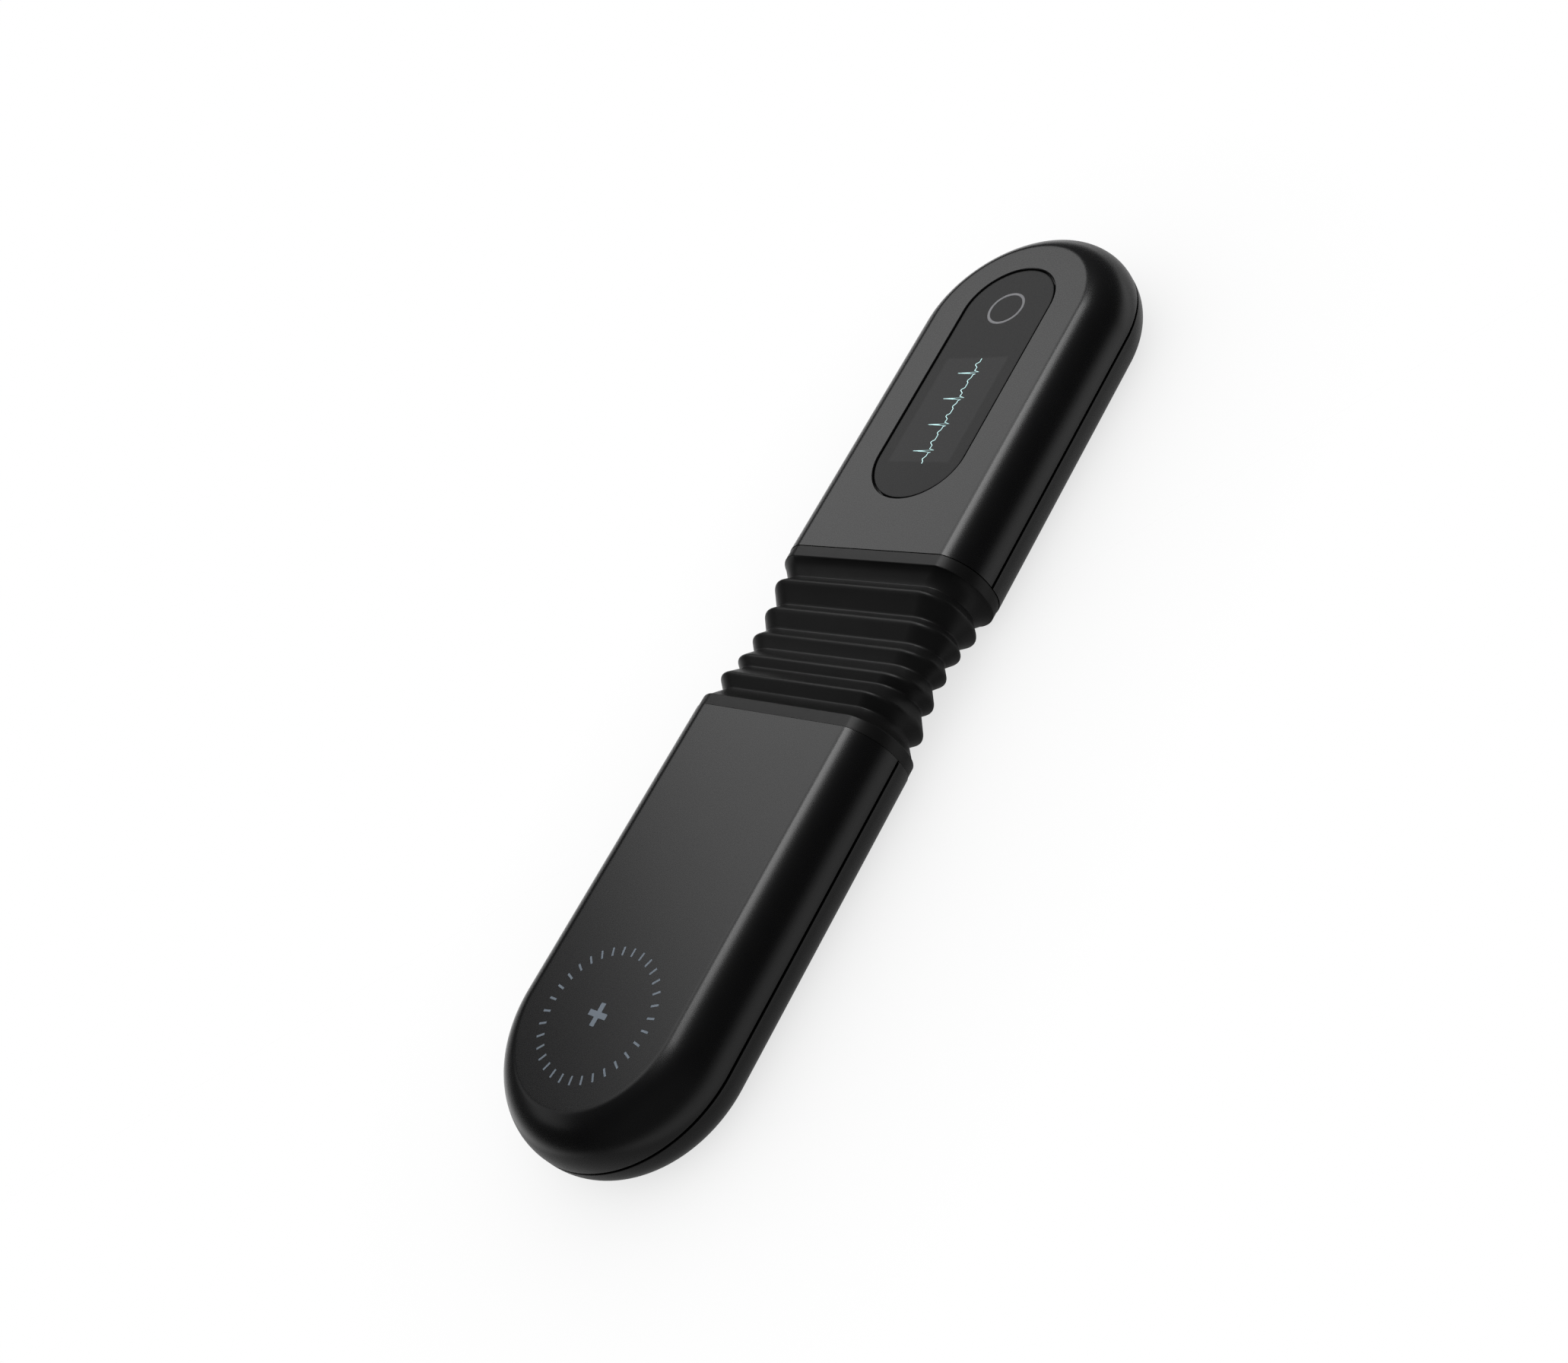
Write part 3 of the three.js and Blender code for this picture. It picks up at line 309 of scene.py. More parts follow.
def tinted(nodes, links, share, dark, pale):
    """Follow a share from a dark colour to a pale one."""
    ramp = nodes.new("ShaderNodeValToRGB")
    ramp.color_ramp.elements[0].position = NOISE_LOW
    ramp.color_ramp.elements[0].color = (*dark, 1)
    ramp.color_ramp.elements[1].position = NOISE_HIGH
    ramp.color_ramp.elements[1].color = (*pale, 1)
    links.new(share, ramp.inputs["Fac"])
    return ramp.outputs["Color"]


def raised(nodes, links, shader, height, depth):
    bump = nodes.new("ShaderNodeBump")
    bump.inputs["Distance"].default_value = depth
    links.new(height, bump.inputs["Height"])
    links.new(bump.outputs["Normal"], shader.inputs["Normal"])


def finish(name, dark, pale, rough, metallic=0, cloud=4 * MM, grain=0.15 * MM, relief=0.002 * MM,
           stretch=(1, 1, 1), specular=0.5):
    """A finish with a cloudy colour, an uneven gloss and a fine grain."""
    material, nodes, links, shader, place = start_material(name)
    place = stretched(nodes, links, place, stretch)
    shader.inputs["Metallic"].default_value = metallic
    shader.inputs["Specular IOR Level"].default_value = specular
    clouds = noise(nodes, links, place, cloud)
    grains = noise(nodes, links, place, grain, detail=3)
    links.new(tinted(nodes, links, clouds, dark, pale), shader.inputs["Base Color"])
    links.new(between(nodes, links, grains, *rough), shader.inputs["Roughness"])
    raised(nodes, links, shader, grains, relief)
    return material


coated_plastic = finish(
    "coated_plastic", (0.0042, 0.0042, 0.0045), (0.005, 0.005, 0.0053), (0.26, 0.29), relief=0.0004 * MM,
    specular=0.25)
bellows_rubber = finish(
    "bellows_rubber", (0.0062, 0.0062, 0.0062), (0.0075, 0.0075, 0.0075), (0.34, 0.44), grain=0.12 * MM,
    relief=0.006 * MM, specular=0.14)
gasket_rubber = finish("gasket_rubber", (0.004, 0.004, 0.004), (0.007, 0.007, 0.007), (0.7, 0.85))
pale_ink = finish("pale_ink", (0.12, 0.12, 0.127), (0.145, 0.145, 0.153), (0.5, 0.6))
light_guide = finish("light_guide", (0.105, 0.13, 0.16), (0.12, 0.148, 0.18), (0.4, 0.5))
electrode_steel = finish(
    "electrode_steel", (0.55, 0.55, 0.56), (0.62, 0.62, 0.63), (0.22, 0.34), metallic=1,
    stretch=(1, 0.03, 1), grain=0.12 * MM, relief=0.002 * MM)
gold_plate = finish("gold_plate", (0.75, 0.52, 0.18), (0.85, 0.6, 0.24), (0.2, 0.3), metallic=1)
screw_steel = finish("screw_steel", (0.18, 0.18, 0.19), (0.26, 0.26, 0.27), (0.3, 0.42), metallic=1)
inner_plastic = finish("inner_plastic", (0.022, 0.022, 0.024), (0.03, 0.03, 0.032), (0.5, 0.6))
joint_steel = finish("joint_steel", (0.45, 0.45, 0.46), (0.55, 0.55, 0.56), (0.25, 0.4), metallic=1)
foam_tape = finish("foam_tape", (0.008, 0.008, 0.008), (0.014, 0.014, 0.014), (0.85, 0.95), grain=0.3 * MM,
                   relief=0.05 * MM)
chip_black = finish("chip_black", (0.01, 0.01, 0.011), (0.016, 0.016, 0.017), (0.4, 0.5))
can_steel = finish("can_steel", (0.5, 0.5, 0.5), (0.6, 0.6, 0.6), (0.3, 0.4), metallic=1)
lamp_white = finish("lamp_white", (0.7, 0.7, 0.66), (0.8, 0.8, 0.76), (0.3, 0.4))
flex_amber = finish("flex_amber", (0.24, 0.11, 0.02), (0.32, 0.16, 0.03), (0.35, 0.45))
board_green = finish("board_green", (0.006, 0.06, 0.03), (0.01, 0.085, 0.045), (0.35, 0.45))
cell_foil = finish("cell_foil", (0.5, 0.51, 0.53), (0.62, 0.63, 0.65), (0.35, 0.5), metallic=0.8,
                   grain=0.8 * MM, relief=0.03 * MM)
lead_red = finish("lead_red", (0.28, 0.012, 0.012), (0.36, 0.02, 0.02), (0.4, 0.5))


def inside_band(nodes, links, value, middle, half_width, softness):
    """One within a band of values, zero outside it, with soft edges."""
    offset = nodes.new("ShaderNodeMath")
    offset.operation = "SUBTRACT"
    links.new(value, offset.inputs[0])
    offset.inputs[1].default_value = middle
    distance = arithmetic(nodes, links, "ABSOLUTE", offset.outputs[0])
    return ramp_between(nodes, links, distance, half_width + softness, half_width - softness, 0, 1)


def make_window_glass():
    """Smoked glass, with a painted glow that makes it a shade paler where the lit display lies under it."""
    material, nodes, links, shader, place = start_material("window_glass")
    panel_low, panel_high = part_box("display_panel")
    panel_y = (panel_low.y + panel_high.y) / 2
    glow_half_width = 6.2 * MM
    glow_half_length = 11 * MM
    edge_softness = 0.3 * MM
    cloud = 3 * MM
    grain = 0.15 * MM
    axes = nodes.new("ShaderNodeSeparateXYZ")
    links.new(place, axes.inputs[0])
    # Painted glow: the share of the display's area, where the glass is made paler to stand for the lit
    # display's light
    across = inside_band(nodes, links, axes.outputs["X"], 0, glow_half_width, edge_softness)
    along = inside_band(nodes, links, axes.outputs["Y"], panel_y, glow_half_length, edge_softness)
    painted_glow_share = arithmetic(nodes, links, "MULTIPLY", across, along)
    clouds = noise(nodes, links, place, cloud)
    dark = tinted(nodes, links, clouds, (0.0048, 0.0048, 0.005), (0.0054, 0.0054, 0.0056))
    mix = nodes.new("ShaderNodeMix")
    mix.data_type = "RGBA"
    links.new(painted_glow_share, mix.inputs["Factor"])
    links.new(dark, mix.inputs["A"])
    # The painted glow's colour over the lit display
    mix.inputs["B"].default_value = (0.0135, 0.0135, 0.0138, 1)
    links.new(mix.outputs["Result"], shader.inputs["Base Color"])
    grains = noise(nodes, links, place, grain)
    links.new(between(nodes, links, grains, 0.24, 0.28), shader.inputs["Roughness"])
    shader.inputs["Specular IOR Level"].default_value = 0.085
    return material


def make_trace_light():
    """The lit line on the display: pale cyan that gives its own light."""
    flicker_size = 0.5 * MM
    material, nodes, links, shader, place = start_material("trace_light")
    flicker = noise(nodes, links, place, flicker_size)
    cyan = tinted(nodes, links, flicker, (0.42, 0.66, 0.66), (0.52, 0.76, 0.76))
    links.new(cyan, shader.inputs["Base Color"])
    links.new(cyan, shader.inputs["Emission Color"])
    shader.inputs["Emission Strength"].default_value = 0.8
    shader.inputs["Roughness"].default_value = 0.5
    return material


window_glass = make_window_glass()
trace_light = make_trace_light()

NODE_FINISHES = {
    "tick_light_guide": light_guide,
    "mark_light_guide": light_guide,
    "display_gasket": gasket_rubber,
    "electrode_gasket": gasket_rubber,
    "window_adhesive": foam_tape,
    "display_panel": chip_black,
    "touch_sensor": flex_amber,
    "main_board": board_green,
    "processor_chip": chip_black,
    "radio_module": can_steel,
    "memory_chip": chip_black,
    "electrode_board": board_green,
    "amplifier_chip": chip_black,
    "charger_chip": chip_black,
    "pad_light": lamp_white,
    "main_board_connector": inner_plastic,
    "electrode_board_connector": inner_plastic,
    "display_flex": flex_amber,
    "display_connector": inner_plastic,
    "vibration_motor": can_steel,
    "display_electrode_contact": gold_plate,
    "chest_electrode_contact": gold_plate,
    "thumb_electrode": electrode_steel,
    "thumb_contact": gold_plate,
    "battery_cell": cell_foil,
    "battery_pad": foam_tape,
    "battery_lead": lead_red,
    "display_neck_frame": inner_plastic,
    "electrode_neck_frame": inner_plastic,
    "swivel_link": joint_steel,
    "left_bend_pin": joint_steel,
    "right_bend_pin": joint_steel,
    "swing_pin": joint_steel,
}
for number in (1, 2, 3):
    NODE_FINISHES[f"main_board_screw_{number}"] = screw_steel
    NODE_FINISHES[f"electrode_board_screw_{number}"] = screw_steel


def dress_nodes():
    """Give every CAD node that stays its finish."""
    for name, material in NODE_FINISHES.items():
        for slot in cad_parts[name].material_slots:
            slot.material = material


dress_nodes()


# Drawing pieces out of a single vertex

class Pen:
    """Draws a chain of edges in a plane across the recorder, by extruding and spinning one vertex."""

    def __init__(self, name, x, y, z):
        bpy.ops.object.select_all(action="DESELECT")
        bpy.ops.mesh.primitive_plane_add(size=MM, location=(0, 0, 0))
        self.piece = bpy.context.object
        self.piece.name = name
        self.piece.data.name = name
        bpy.ops.object.mode_set(mode="EDIT")
        bpy.ops.mesh.merge(type="CENTER")
        bpy.ops.transform.translate(value=(x, y, z))
        self.place = Vector((x, y, z))

    def line_to(self, x, z):
        target = Vector((x, self.place.y, z))
        bpy.ops.mesh.extrude_region_move(TRANSFORM_OT_translate={"value": target - self.place})
        self.place = target

    def arc_about(self, x, z, turn, steps):
        """Turn about a point, anticlockwise as seen from the front."""
        centre = Vector((x, self.place.y, z))
        bpy.ops.mesh.spin(steps=steps, angle=turn, center=centre, axis=(0, 1, 0))
        arm = self.place - centre
        arm.rotate(Quaternion((0, 1, 0), -turn))
        self.place = centre + arm


def select_where(piece, test):
    """Select the vertices that pass a test on their place."""
    bpy.ops.object.mode_set(mode="OBJECT")
    for part in (piece.data.polygons, piece.data.edges):
        for element in part:
            element.select = False
    for vertex in piece.data.vertices:
        vertex.select = test(vertex.co)
    bpy.ops.object.mode_set(mode="EDIT")


def spin_chain(centre_y, turn, steps):
    """Spin what is selected about the upright line through a point on the middle line."""
    bpy.ops.mesh.spin(steps=steps, angle=turn, center=(0, centre_y, 0), axis=(0, 0, 1))


def close_up(piece):
    """Merge doubles, turn the faces outwards and shade the piece."""
    bpy.ops.object.mode_set(mode="EDIT")
    bpy.ops.mesh.select_all(action="SELECT")
    bpy.ops.mesh.remove_doubles(threshold=MERGE_REACH)
    bpy.ops.mesh.dissolve_degenerate(threshold=SAME_PLACE)
    bpy.ops.mesh.normals_make_consistent(inside=False)
    bpy.ops.object.mode_set(mode="OBJECT")
    shade(piece)
    return piece


def shade(piece, angle=30):
    """Shade a piece smoothly but for edges sharper than the angle."""
    bpy.ops.object.select_all(action="DESELECT")
    bpy.context.view_layer.objects.active = piece
    piece.select_set(True)
    bpy.ops.object.shade_smooth_by_angle(angle=math.radians(angle))


def close_round(pen, centre_y, steps=TIP_STEPS):
    """Spin a drawn chain once round an upright axis."""
    bpy.ops.mesh.select_all(action="SELECT")
    spin_chain(centre_y, FULL_TURN, steps)
    return close_up(pen.piece)


def close_capsule(pen, near_y, far_y):
    """Carry a chain drawn at the far centre round a capsule's outline."""
    bpy.ops.mesh.select_all(action="SELECT")
    spin_chain(far_y, -HALF_TURN, TIP_STEPS)
    bpy.ops.mesh.extrude_region_move(TRANSFORM_OT_translate={"value": (0, near_y - far_y, 0)})
    spin_chain(near_y, -HALF_TURN, TIP_STEPS)
    bpy.ops.mesh.extrude_region_move(TRANSFORM_OT_translate={"value": (0, far_y - near_y, 0)})
    return close_up(pen.piece)


def close_tongue(pen, tip_y, end_y):
    """Carry a chain drawn at the tip's centre round the tip and straight back to a square end."""
    way = math.copysign(1, tip_y)
    bpy.ops.mesh.select_all(action="SELECT")
    spin_chain(tip_y, -way * HALF_TURN, TIP_STEPS)
    bpy.ops.mesh.select_all(action="SELECT")
    bpy.ops.mesh.remove_doubles(threshold=MERGE_REACH)
    select_where(pen.piece, lambda co: abs(co.y - tip_y) < SAME_PLACE)
    bpy.ops.mesh.extrude_region_move(TRANSFORM_OT_translate={"value": (0, end_y - tip_y, 0)})
    bpy.ops.mesh.edge_face_add()
    return close_up(pen.piece)


def cut(piece, *cutters):
    """Cut pieces out of a piece, and take them away."""
    for cutter in cutters:
        bpy.ops.object.select_all(action="DESELECT")
        bpy.context.view_layer.objects.active = piece
        piece.select_set(True)
        modifier = piece.modifiers.new("cut", "BOOLEAN")
        modifier.operation = "DIFFERENCE"
        modifier.solver = "EXACT"
        modifier.object = cutter
        bpy.ops.object.modifier_apply(modifier=modifier.name)
        bpy.data.objects.remove(cutter)
    shade(piece)
    return piece


def settle(piece, body, material, slot, *nodes):
    """Give a piece its finish, its body and the nodes that it stands for."""
    piece.data.materials.clear()
    piece.data.materials.append(material)
    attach(piece, body)
    if nodes:
        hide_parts(*nodes)


# The rigid halves

def shell_profile(name, tip_y, way):
    """The outside from the middle of the flat to the parting rim, then the inside back again.

    The way is one for the upper shell and minus one for the lower one.
    """
    def level(rise):
        return MID_Z + way * rise

    pen = Pen(name, 0, tip_y, level(MID_Z))
    pen.line_to(CREASE_X - FLAT_MARGIN, level(MID_Z))
    pen.line_to(CREASE_X, level(MID_Z))
    pen.arc_about(CREASE_X, level(CREASE_RISE), -way * CREASE_ANGLE, CREASE_STEPS)
    pen.arc_about(SIDE_X, level(SIDE_RISE), -way * (RIGHT_ANGLE - CREASE_ANGLE), SIDE_STEPS)
    pen.line_to(HALF_WIDTH, level(RIM_RISE + EDGE_SOFTENING))
    pen.arc_about(HALF_WIDTH - EDGE_SOFTENING, level(RIM_RISE + EDGE_SOFTENING),
                  -way * RIGHT_ANGLE, EDGE_STEPS)
    pen.line_to(HALF_WIDTH - WALL, level(RIM_RISE))
    pen.line_to(HALF_WIDTH - WALL, level(SIDE_RISE))
    pen.arc_about(SIDE_X, level(SIDE_RISE), way * (RIGHT_ANGLE - CREASE_ANGLE), INSIDE_STEPS)
    pen.line_to(CREASE_X, level(MID_Z - WALL))
    pen.line_to(0, level(MID_Z - WALL))
    return pen


def make_shell(name, side, way):
    pen = shell_profile(name, side * TIP_CENTRE_Y, way)
    return close_tongue(pen, side * TIP_CENTRE_Y, side * SEAM_Y)


# The display window and what is on it
WINDOW_GAP = 0.25 * MM
LEDGE_WIDTH = 1.3 * MM
glass_radius = window_high.x
opening_radius = glass_radius + WINDOW_GAP
window_far_y = window_high.y - glass_radius
window_near_y = window_low.y + glass_radius


def cut_window_seat(shell):
    ledge_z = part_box("window_adhesive")[0].z
    hole_radius = opening_radius - LEDGE_WIDTH
    pen = Pen("window_cutter", 0, window_far_y, TOP_Z - 2 * WALL)
    pen.line_to(hole_radius, TOP_Z - 2 * WALL)
    pen.line_to(hole_radius, ledge_z)
    pen.line_to(opening_radius, ledge_z)
    pen.line_to(opening_radius, TOP_Z - EDGE_SOFTENING)
    pen.line_to(opening_radius + 2 * EDGE_SOFTENING, TOP_Z + EDGE_SOFTENING)
    pen.line_to(0, TOP_Z + EDGE_SOFTENING)
    cut(shell, close_capsule(pen, window_near_y, window_far_y))


def add_window():
    pen = Pen("window_glass", 0, window_far_y, window_low.z)
    pen.line_to(glass_radius, window_low.z)
    pen.line_to(glass_radius, window_high.z - EDGE_SOFTENING)
    pen.arc_about(glass_radius - EDGE_SOFTENING, window_high.z - EDGE_SOFTENING, RIGHT_ANGLE, EDGE_STEPS)
    pen.line_to(glass_radius - EDGE_SOFTENING - FLAT_MARGIN, window_high.z)
    pen.line_to(0, window_high.z)
    glass = close_capsule(pen, window_near_y, window_far_y)
    settle(glass, "display_half", window_glass, "window_glass", "display_window")


def add_touch_ring():
    low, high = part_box("touch_ring")
    stroke = 0.5 * MM
    ink = high.z - low.z
    outer = high.x
    pen = Pen("printed_ring", outer, (low.y + high.y) / 2, low.z)
    pen.line_to(outer - ink, high.z)
    pen.line_to(outer - stroke + ink, high.z)
    pen.line_to(outer - stroke, low.z)
    pen.line_to(outer, low.z)
    ring = close_round(pen, (low.y + high.y) / 2)
    settle(ring, "display_half", pale_ink, "pale_ink", "touch_ring")


def add_line(curve, points):
    """A straight-sided line on a curve, from points that each have a place and a share of its radius."""
    spline = curve.splines.new("POLY")
    spline.points.add(len(points) - 1)
    for point, (place, share) in zip(spline.points, points):
        point.co = (*place, 1)
        point.radius = share


def add_trace():
    """Four heart beats along the display, as one thin lit line with its sharp peaks filled in."""
    base_x = 1.03 * MM
    first_peak_y = 35.5 * MM
    spacing = 5.5 * MM
    beats = 4
    start_y = 32.9 * MM
    end_y = 55.1 * MM
    line_radius = 0.065 * MM
    # Places along a beat and heights, in millimetres
    lead_in = (2.95, 0.03)
    lead_out = (3.1, 0.05)
    peak = (0, 3.26)
    after_peak = [
        (0.2, -0.9), (0.48, 0.1), (1.2, 0), (1.7, 0.58), (1.95, 0.6), (2.35, 0.06), (3.4, 0.04),
        (3.72, 0.36), (3.96, 0.36), (4.45, 0), (5.14, -0.04), (5.25, -0.46),
    ]
    # The same for the peak's filling, with a share of the line's radius
    filling = [(0, 3.1, 0.9), (0.01, 1.6, 1.1), (-0.01, 0.7, 0.3)]

    def place(beat, along, height):
        return (base_x - height * MM, first_peak_y + beat * spacing + along * MM, window_high.z)

    line = [place(-1, *lead_in)]
    for beat in range(-1, beats):
        line.extend(place(beat, *point) for point in [peak, *after_peak])
    line = [point for point in line if start_y <= point[1] <= end_y]
    line.append(place(beats - 1, *lead_out))
    curve = bpy.data.curves.new("ecg_trace", "CURVE")
    curve.dimensions = "3D"
    curve.bevel_depth = line_radius
    curve.bevel_resolution = 1
    curve.use_fill_caps = True
    add_line(curve, [(point, 1) for point in line])
    for beat in range(beats):
        add_line(curve, [(place(beat, along, height), share) for along, height, share in filling])
    trace = bpy.data.objects.new("ecg_trace", curve)
    bpy.context.collection.objects.link(trace)
    bpy.ops.object.select_all(action="DESELECT")
    bpy.context.view_layer.objects.active = trace
    trace.select_set(True)
    bpy.ops.object.convert(target="MESH")
    settle(bpy.context.object, "display_half", trace_light, "lamp_white")


# Light guides and their slots in the electrode half
PAD_GAP = 0.03 * MM
TICK_COUNT = 32
TICK_RADIUS = 9.82 * MM
TICK_LENGTH = 1.35 * MM
TICK_WIDTH = 0.34 * MM
CROSS_LENGTH = 3.6 * MM
CROSS_STROKE = 0.9 * MM
pad_low, pad_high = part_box("tick_light_guide")
pad_y = (pad_low.y + pad_high.y) / 2


def add_box(name, low, high):
    bpy.ops.object.select_all(action="DESELECT")
    bpy.ops.mesh.primitive_cube_add(size=1, location=(0, 0, 0))
    box = bpy.context.object
    box.name = name
    bpy.ops.object.mode_set(mode="EDIT")
    bpy.ops.transform.resize(value=Vector(high) - Vector(low), center_override=(0, 0, 0))
    bpy.ops.transform.translate(value=(Vector(high) + Vector(low)) / 2)
    bpy.ops.object.mode_set(mode="OBJECT")
    return box


def cut_pad_slots(shell):
    low_z = TOP_Z - 2 * WALL
    high_z = TOP_Z + WALL
    half_length = TICK_LENGTH / 2 + PAD_GAP
    half_width = TICK_WIDTH / 2 + PAD_GAP
    slots = add_box(
        "tick_slots",
        (TICK_RADIUS - half_length, pad_y - half_width, low_z),
        (TICK_RADIUS + half_length, pad_y + half_width, high_z))
    bpy.ops.object.mode_set(mode="EDIT")
    bpy.ops.mesh.select_all(action="SELECT")
    bpy.ops.mesh.spin(
        steps=TICK_COUNT, angle=FULL_TURN, dupli=True, center=(0, pad_y, 0), axis=(0, 0, 1))
    bpy.ops.mesh.select_all(action="SELECT")
    bpy.ops.mesh.remove_doubles(threshold=MERGE_REACH)
    bpy.ops.object.mode_set(mode="OBJECT")
    reach = CROSS_LENGTH / 2 + PAD_GAP
    half = CROSS_STROKE / 2 + PAD_GAP
    across = add_box("cross_slot", (-reach, pad_y - half, low_z), (reach, pad_y + half, high_z))
    along = add_box("cross_slot", (-half, pad_y - reach, low_z), (half, pad_y + reach, high_z))
    cut(shell, slots, across, along)


# Electrodes, screws and charging contacts in the undersides
SEAT_GAP = 0.3 * MM
PLATE_THICKNESS = 0.8 * MM
SCREW_HOLE_RADIUS = 1.9 * MM
SCREW_HOLE_DEPTH = 1.5 * MM
CONTACT_HOLE_RADIUS = 1.7 * MM
CONTACT_HOLE_DEPTH = 3 * MM


def cut_electrode_seat(cover, node):
    low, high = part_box(node)
    radius = high.x + SEAT_GAP
    far_y = high.y - high.x
    near_y = low.y + high.x
    pen = Pen("seat_cutter", 0, far_y, PLATE_THICKNESS)
    pen.line_to(radius, PLATE_THICKNESS)
    pen.line_to(radius, EDGE_SOFTENING)
    pen.line_to(radius + 2 * EDGE_SOFTENING, -EDGE_SOFTENING)
    pen.line_to(0, -EDGE_SOFTENING)
    cut(cover, close_capsule(pen, near_y, far_y))


def add_electrode(node):
    body = "display_half" if node == "display_electrode" else "electrode_half"
    low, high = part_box(node)
    radius = high.x
    far_y = high.y - radius
    near_y = low.y + radius
    rounding = 0.3 * MM
    pen = Pen(node + "_plate", 0, far_y, PLATE_THICKNESS)
    pen.line_to(radius, PLATE_THICKNESS)
    pen.line_to(radius, rounding)
    pen.arc_about(radius - rounding, rounding, -RIGHT_ANGLE, EDGE_STEPS)
    pen.line_to(radius - rounding - FLAT_MARGIN, 0)
    pen.line_to(0, 0)
    plate = close_capsule(pen, near_y, far_y)
    settle(plate, body, electrode_steel, "electrode_steel", node)


def round_cutter(name, x, y, steps, *profile):
    """A turned cutter, from points given as a radius and a height."""
    pen = Pen(name, profile[0][0], 0, profile[0][1])
    for radius, z in profile[1:]:
        pen.line_to(radius, z)
    cutter = close_round(pen, 0, steps)
    move_mesh(cutter, x, y)
    return cutter


def move_mesh(piece, x, y):
    bpy.ops.object.select_all(action="DESELECT")
    bpy.context.view_layer.objects.active = piece
    piece.select_set(True)
    bpy.ops.object.mode_set(mode="EDIT")
    bpy.ops.mesh.select_all(action="SELECT")
    bpy.ops.transform.translate(value=(x, y, 0))
    bpy.ops.object.mode_set(mode="OBJECT")


def node_middle(node):
    low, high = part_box(node)
    return (low.x + high.x) / 2, (low.y + high.y) / 2


def cut_round_hole(cover, node, radius, depth):
    x, y = node_middle(node)
    cut(cover, round_cutter(
        "hole_cutter", x, y, HOLE_STEPS,
        (0, depth), (radius, depth), (radius, EDGE_SOFTENING),
        (radius + 2 * EDGE_SOFTENING, -EDGE_SOFTENING), (0, -EDGE_SOFTENING)))


def make_screw():
    """A pan head with a chamfer and a six-sided socket, seen from below, and its shank."""
    low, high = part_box("display_cover_screw_1")
    head_radius = (high.x - low.x) / 2
    head_height = 1.1 * MM
    chamfer = 0.25 * MM
    shank_radius = 0.8 * MM
    shoulder_z = low.z + head_height
    pen = Pen("cover_screw", 0, 0, low.z)
    pen.line_to(head_radius - chamfer, low.z)
    pen.line_to(head_radius, low.z + chamfer)
    pen.line_to(head_radius, shoulder_z)
    pen.line_to(shank_radius, shoulder_z)
    pen.line_to(shank_radius, high.z)
    pen.line_to(0, high.z)
    screw = close_round(pen, 0, SCREW_STEPS)
    socket_sides = 6
    socket_radius = 0.88 * MM
    socket_depth = 0.66 * MM
    socket = round_cutter(
        "socket_cutter", 0, 0, socket_sides,
        (0, low.z + socket_depth), (socket_radius, low.z + socket_depth),
        (socket_radius, low.z - MM), (0, low.z - MM))
    return cut(screw, socket)


def copy_to(model, name, x, y):
    bpy.ops.object.select_all(action="DESELECT")
    copy = model.copy()
    copy.data = model.data.copy()
    copy.name = name
    copy.data.name = name
    bpy.context.collection.objects.link(copy)
    move_mesh(copy, x, y)
    return copy


def add_screws():
    model = make_screw()
    for half in ("display", "electrode"):
        for number in (1, 2, 3):
            node = f"{half}_cover_screw_{number}"
            screw = copy_to(model, f"{half}_underside_screw_{number}", *node_middle(node))
            settle(screw, f"{half}_half", screw_steel, "screw_steel", node)
    bpy.data.objects.remove(model)


def add_charging_contacts():
    low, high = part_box("charging_contact_1")
    radius = (high.x - low.x) / 2
    rounding = 0.45 * MM
    shank_radius = 0.8 * MM
    shoulder_z = 2.6 * MM
    pen = Pen("contact_model", 0, 0, low.z)
    pen.line_to(radius - rounding, low.z)
    pen.arc_about(radius - rounding, low.z + rounding, RIGHT_ANGLE, EDGE_STEPS)
    pen.line_to(radius, shoulder_z)
    pen.line_to(shank_radius, shoulder_z)
    pen.line_to(shank_radius, high.z)
    pen.line_to(0, high.z)
    model = close_round(pen, 0, HOLE_STEPS)
    for number in (1, 2):
        node = f"charging_contact_{number}"
        pin = copy_to(model, f"charging_pin_{number}", *node_middle(node))
        settle(pin, "electrode_half", gold_plate, "gold_plate", node)
    bpy.data.objects.remove(model)


def add_rigid_halves():
    display_top = make_shell("display_housing", 1, 1)
    cut_window_seat(display_top)
    settle(display_top, "display_half", coated_plastic, "coated_plastic", "display_top_shell")
    electrode_top = make_shell("electrode_housing", -1, 1)
    cut_pad_slots(electrode_top)
    settle(electrode_top, "electrode_half", coated_plastic, "coated_plastic", "electrode_top_shell")
    for half, side, plate in (("display", 1, "display_electrode"), ("electrode", -1, "chest_electrode")):
        cover = make_shell(f"{half}_base", side, -1)
        cut_electrode_seat(cover, plate)
        for number in (1, 2, 3):
            cut_round_hole(cover, f"{half}_cover_screw_{number}", SCREW_HOLE_RADIUS, SCREW_HOLE_DEPTH)
        if half == "electrode":
            for number in (1, 2):
                cut_round_hole(cover, f"charging_contact_{number}", CONTACT_HOLE_RADIUS, CONTACT_HOLE_DEPTH)
        settle(cover, f"{half}_half", coated_plastic, "coated_plastic", f"{half}_bottom_cover")


add_rigid_halves()
add_window()
add_touch_ring()
add_trace()
add_electrode("display_electrode")
add_electrode("chest_electrode")
add_screws()
add_charging_contacts()


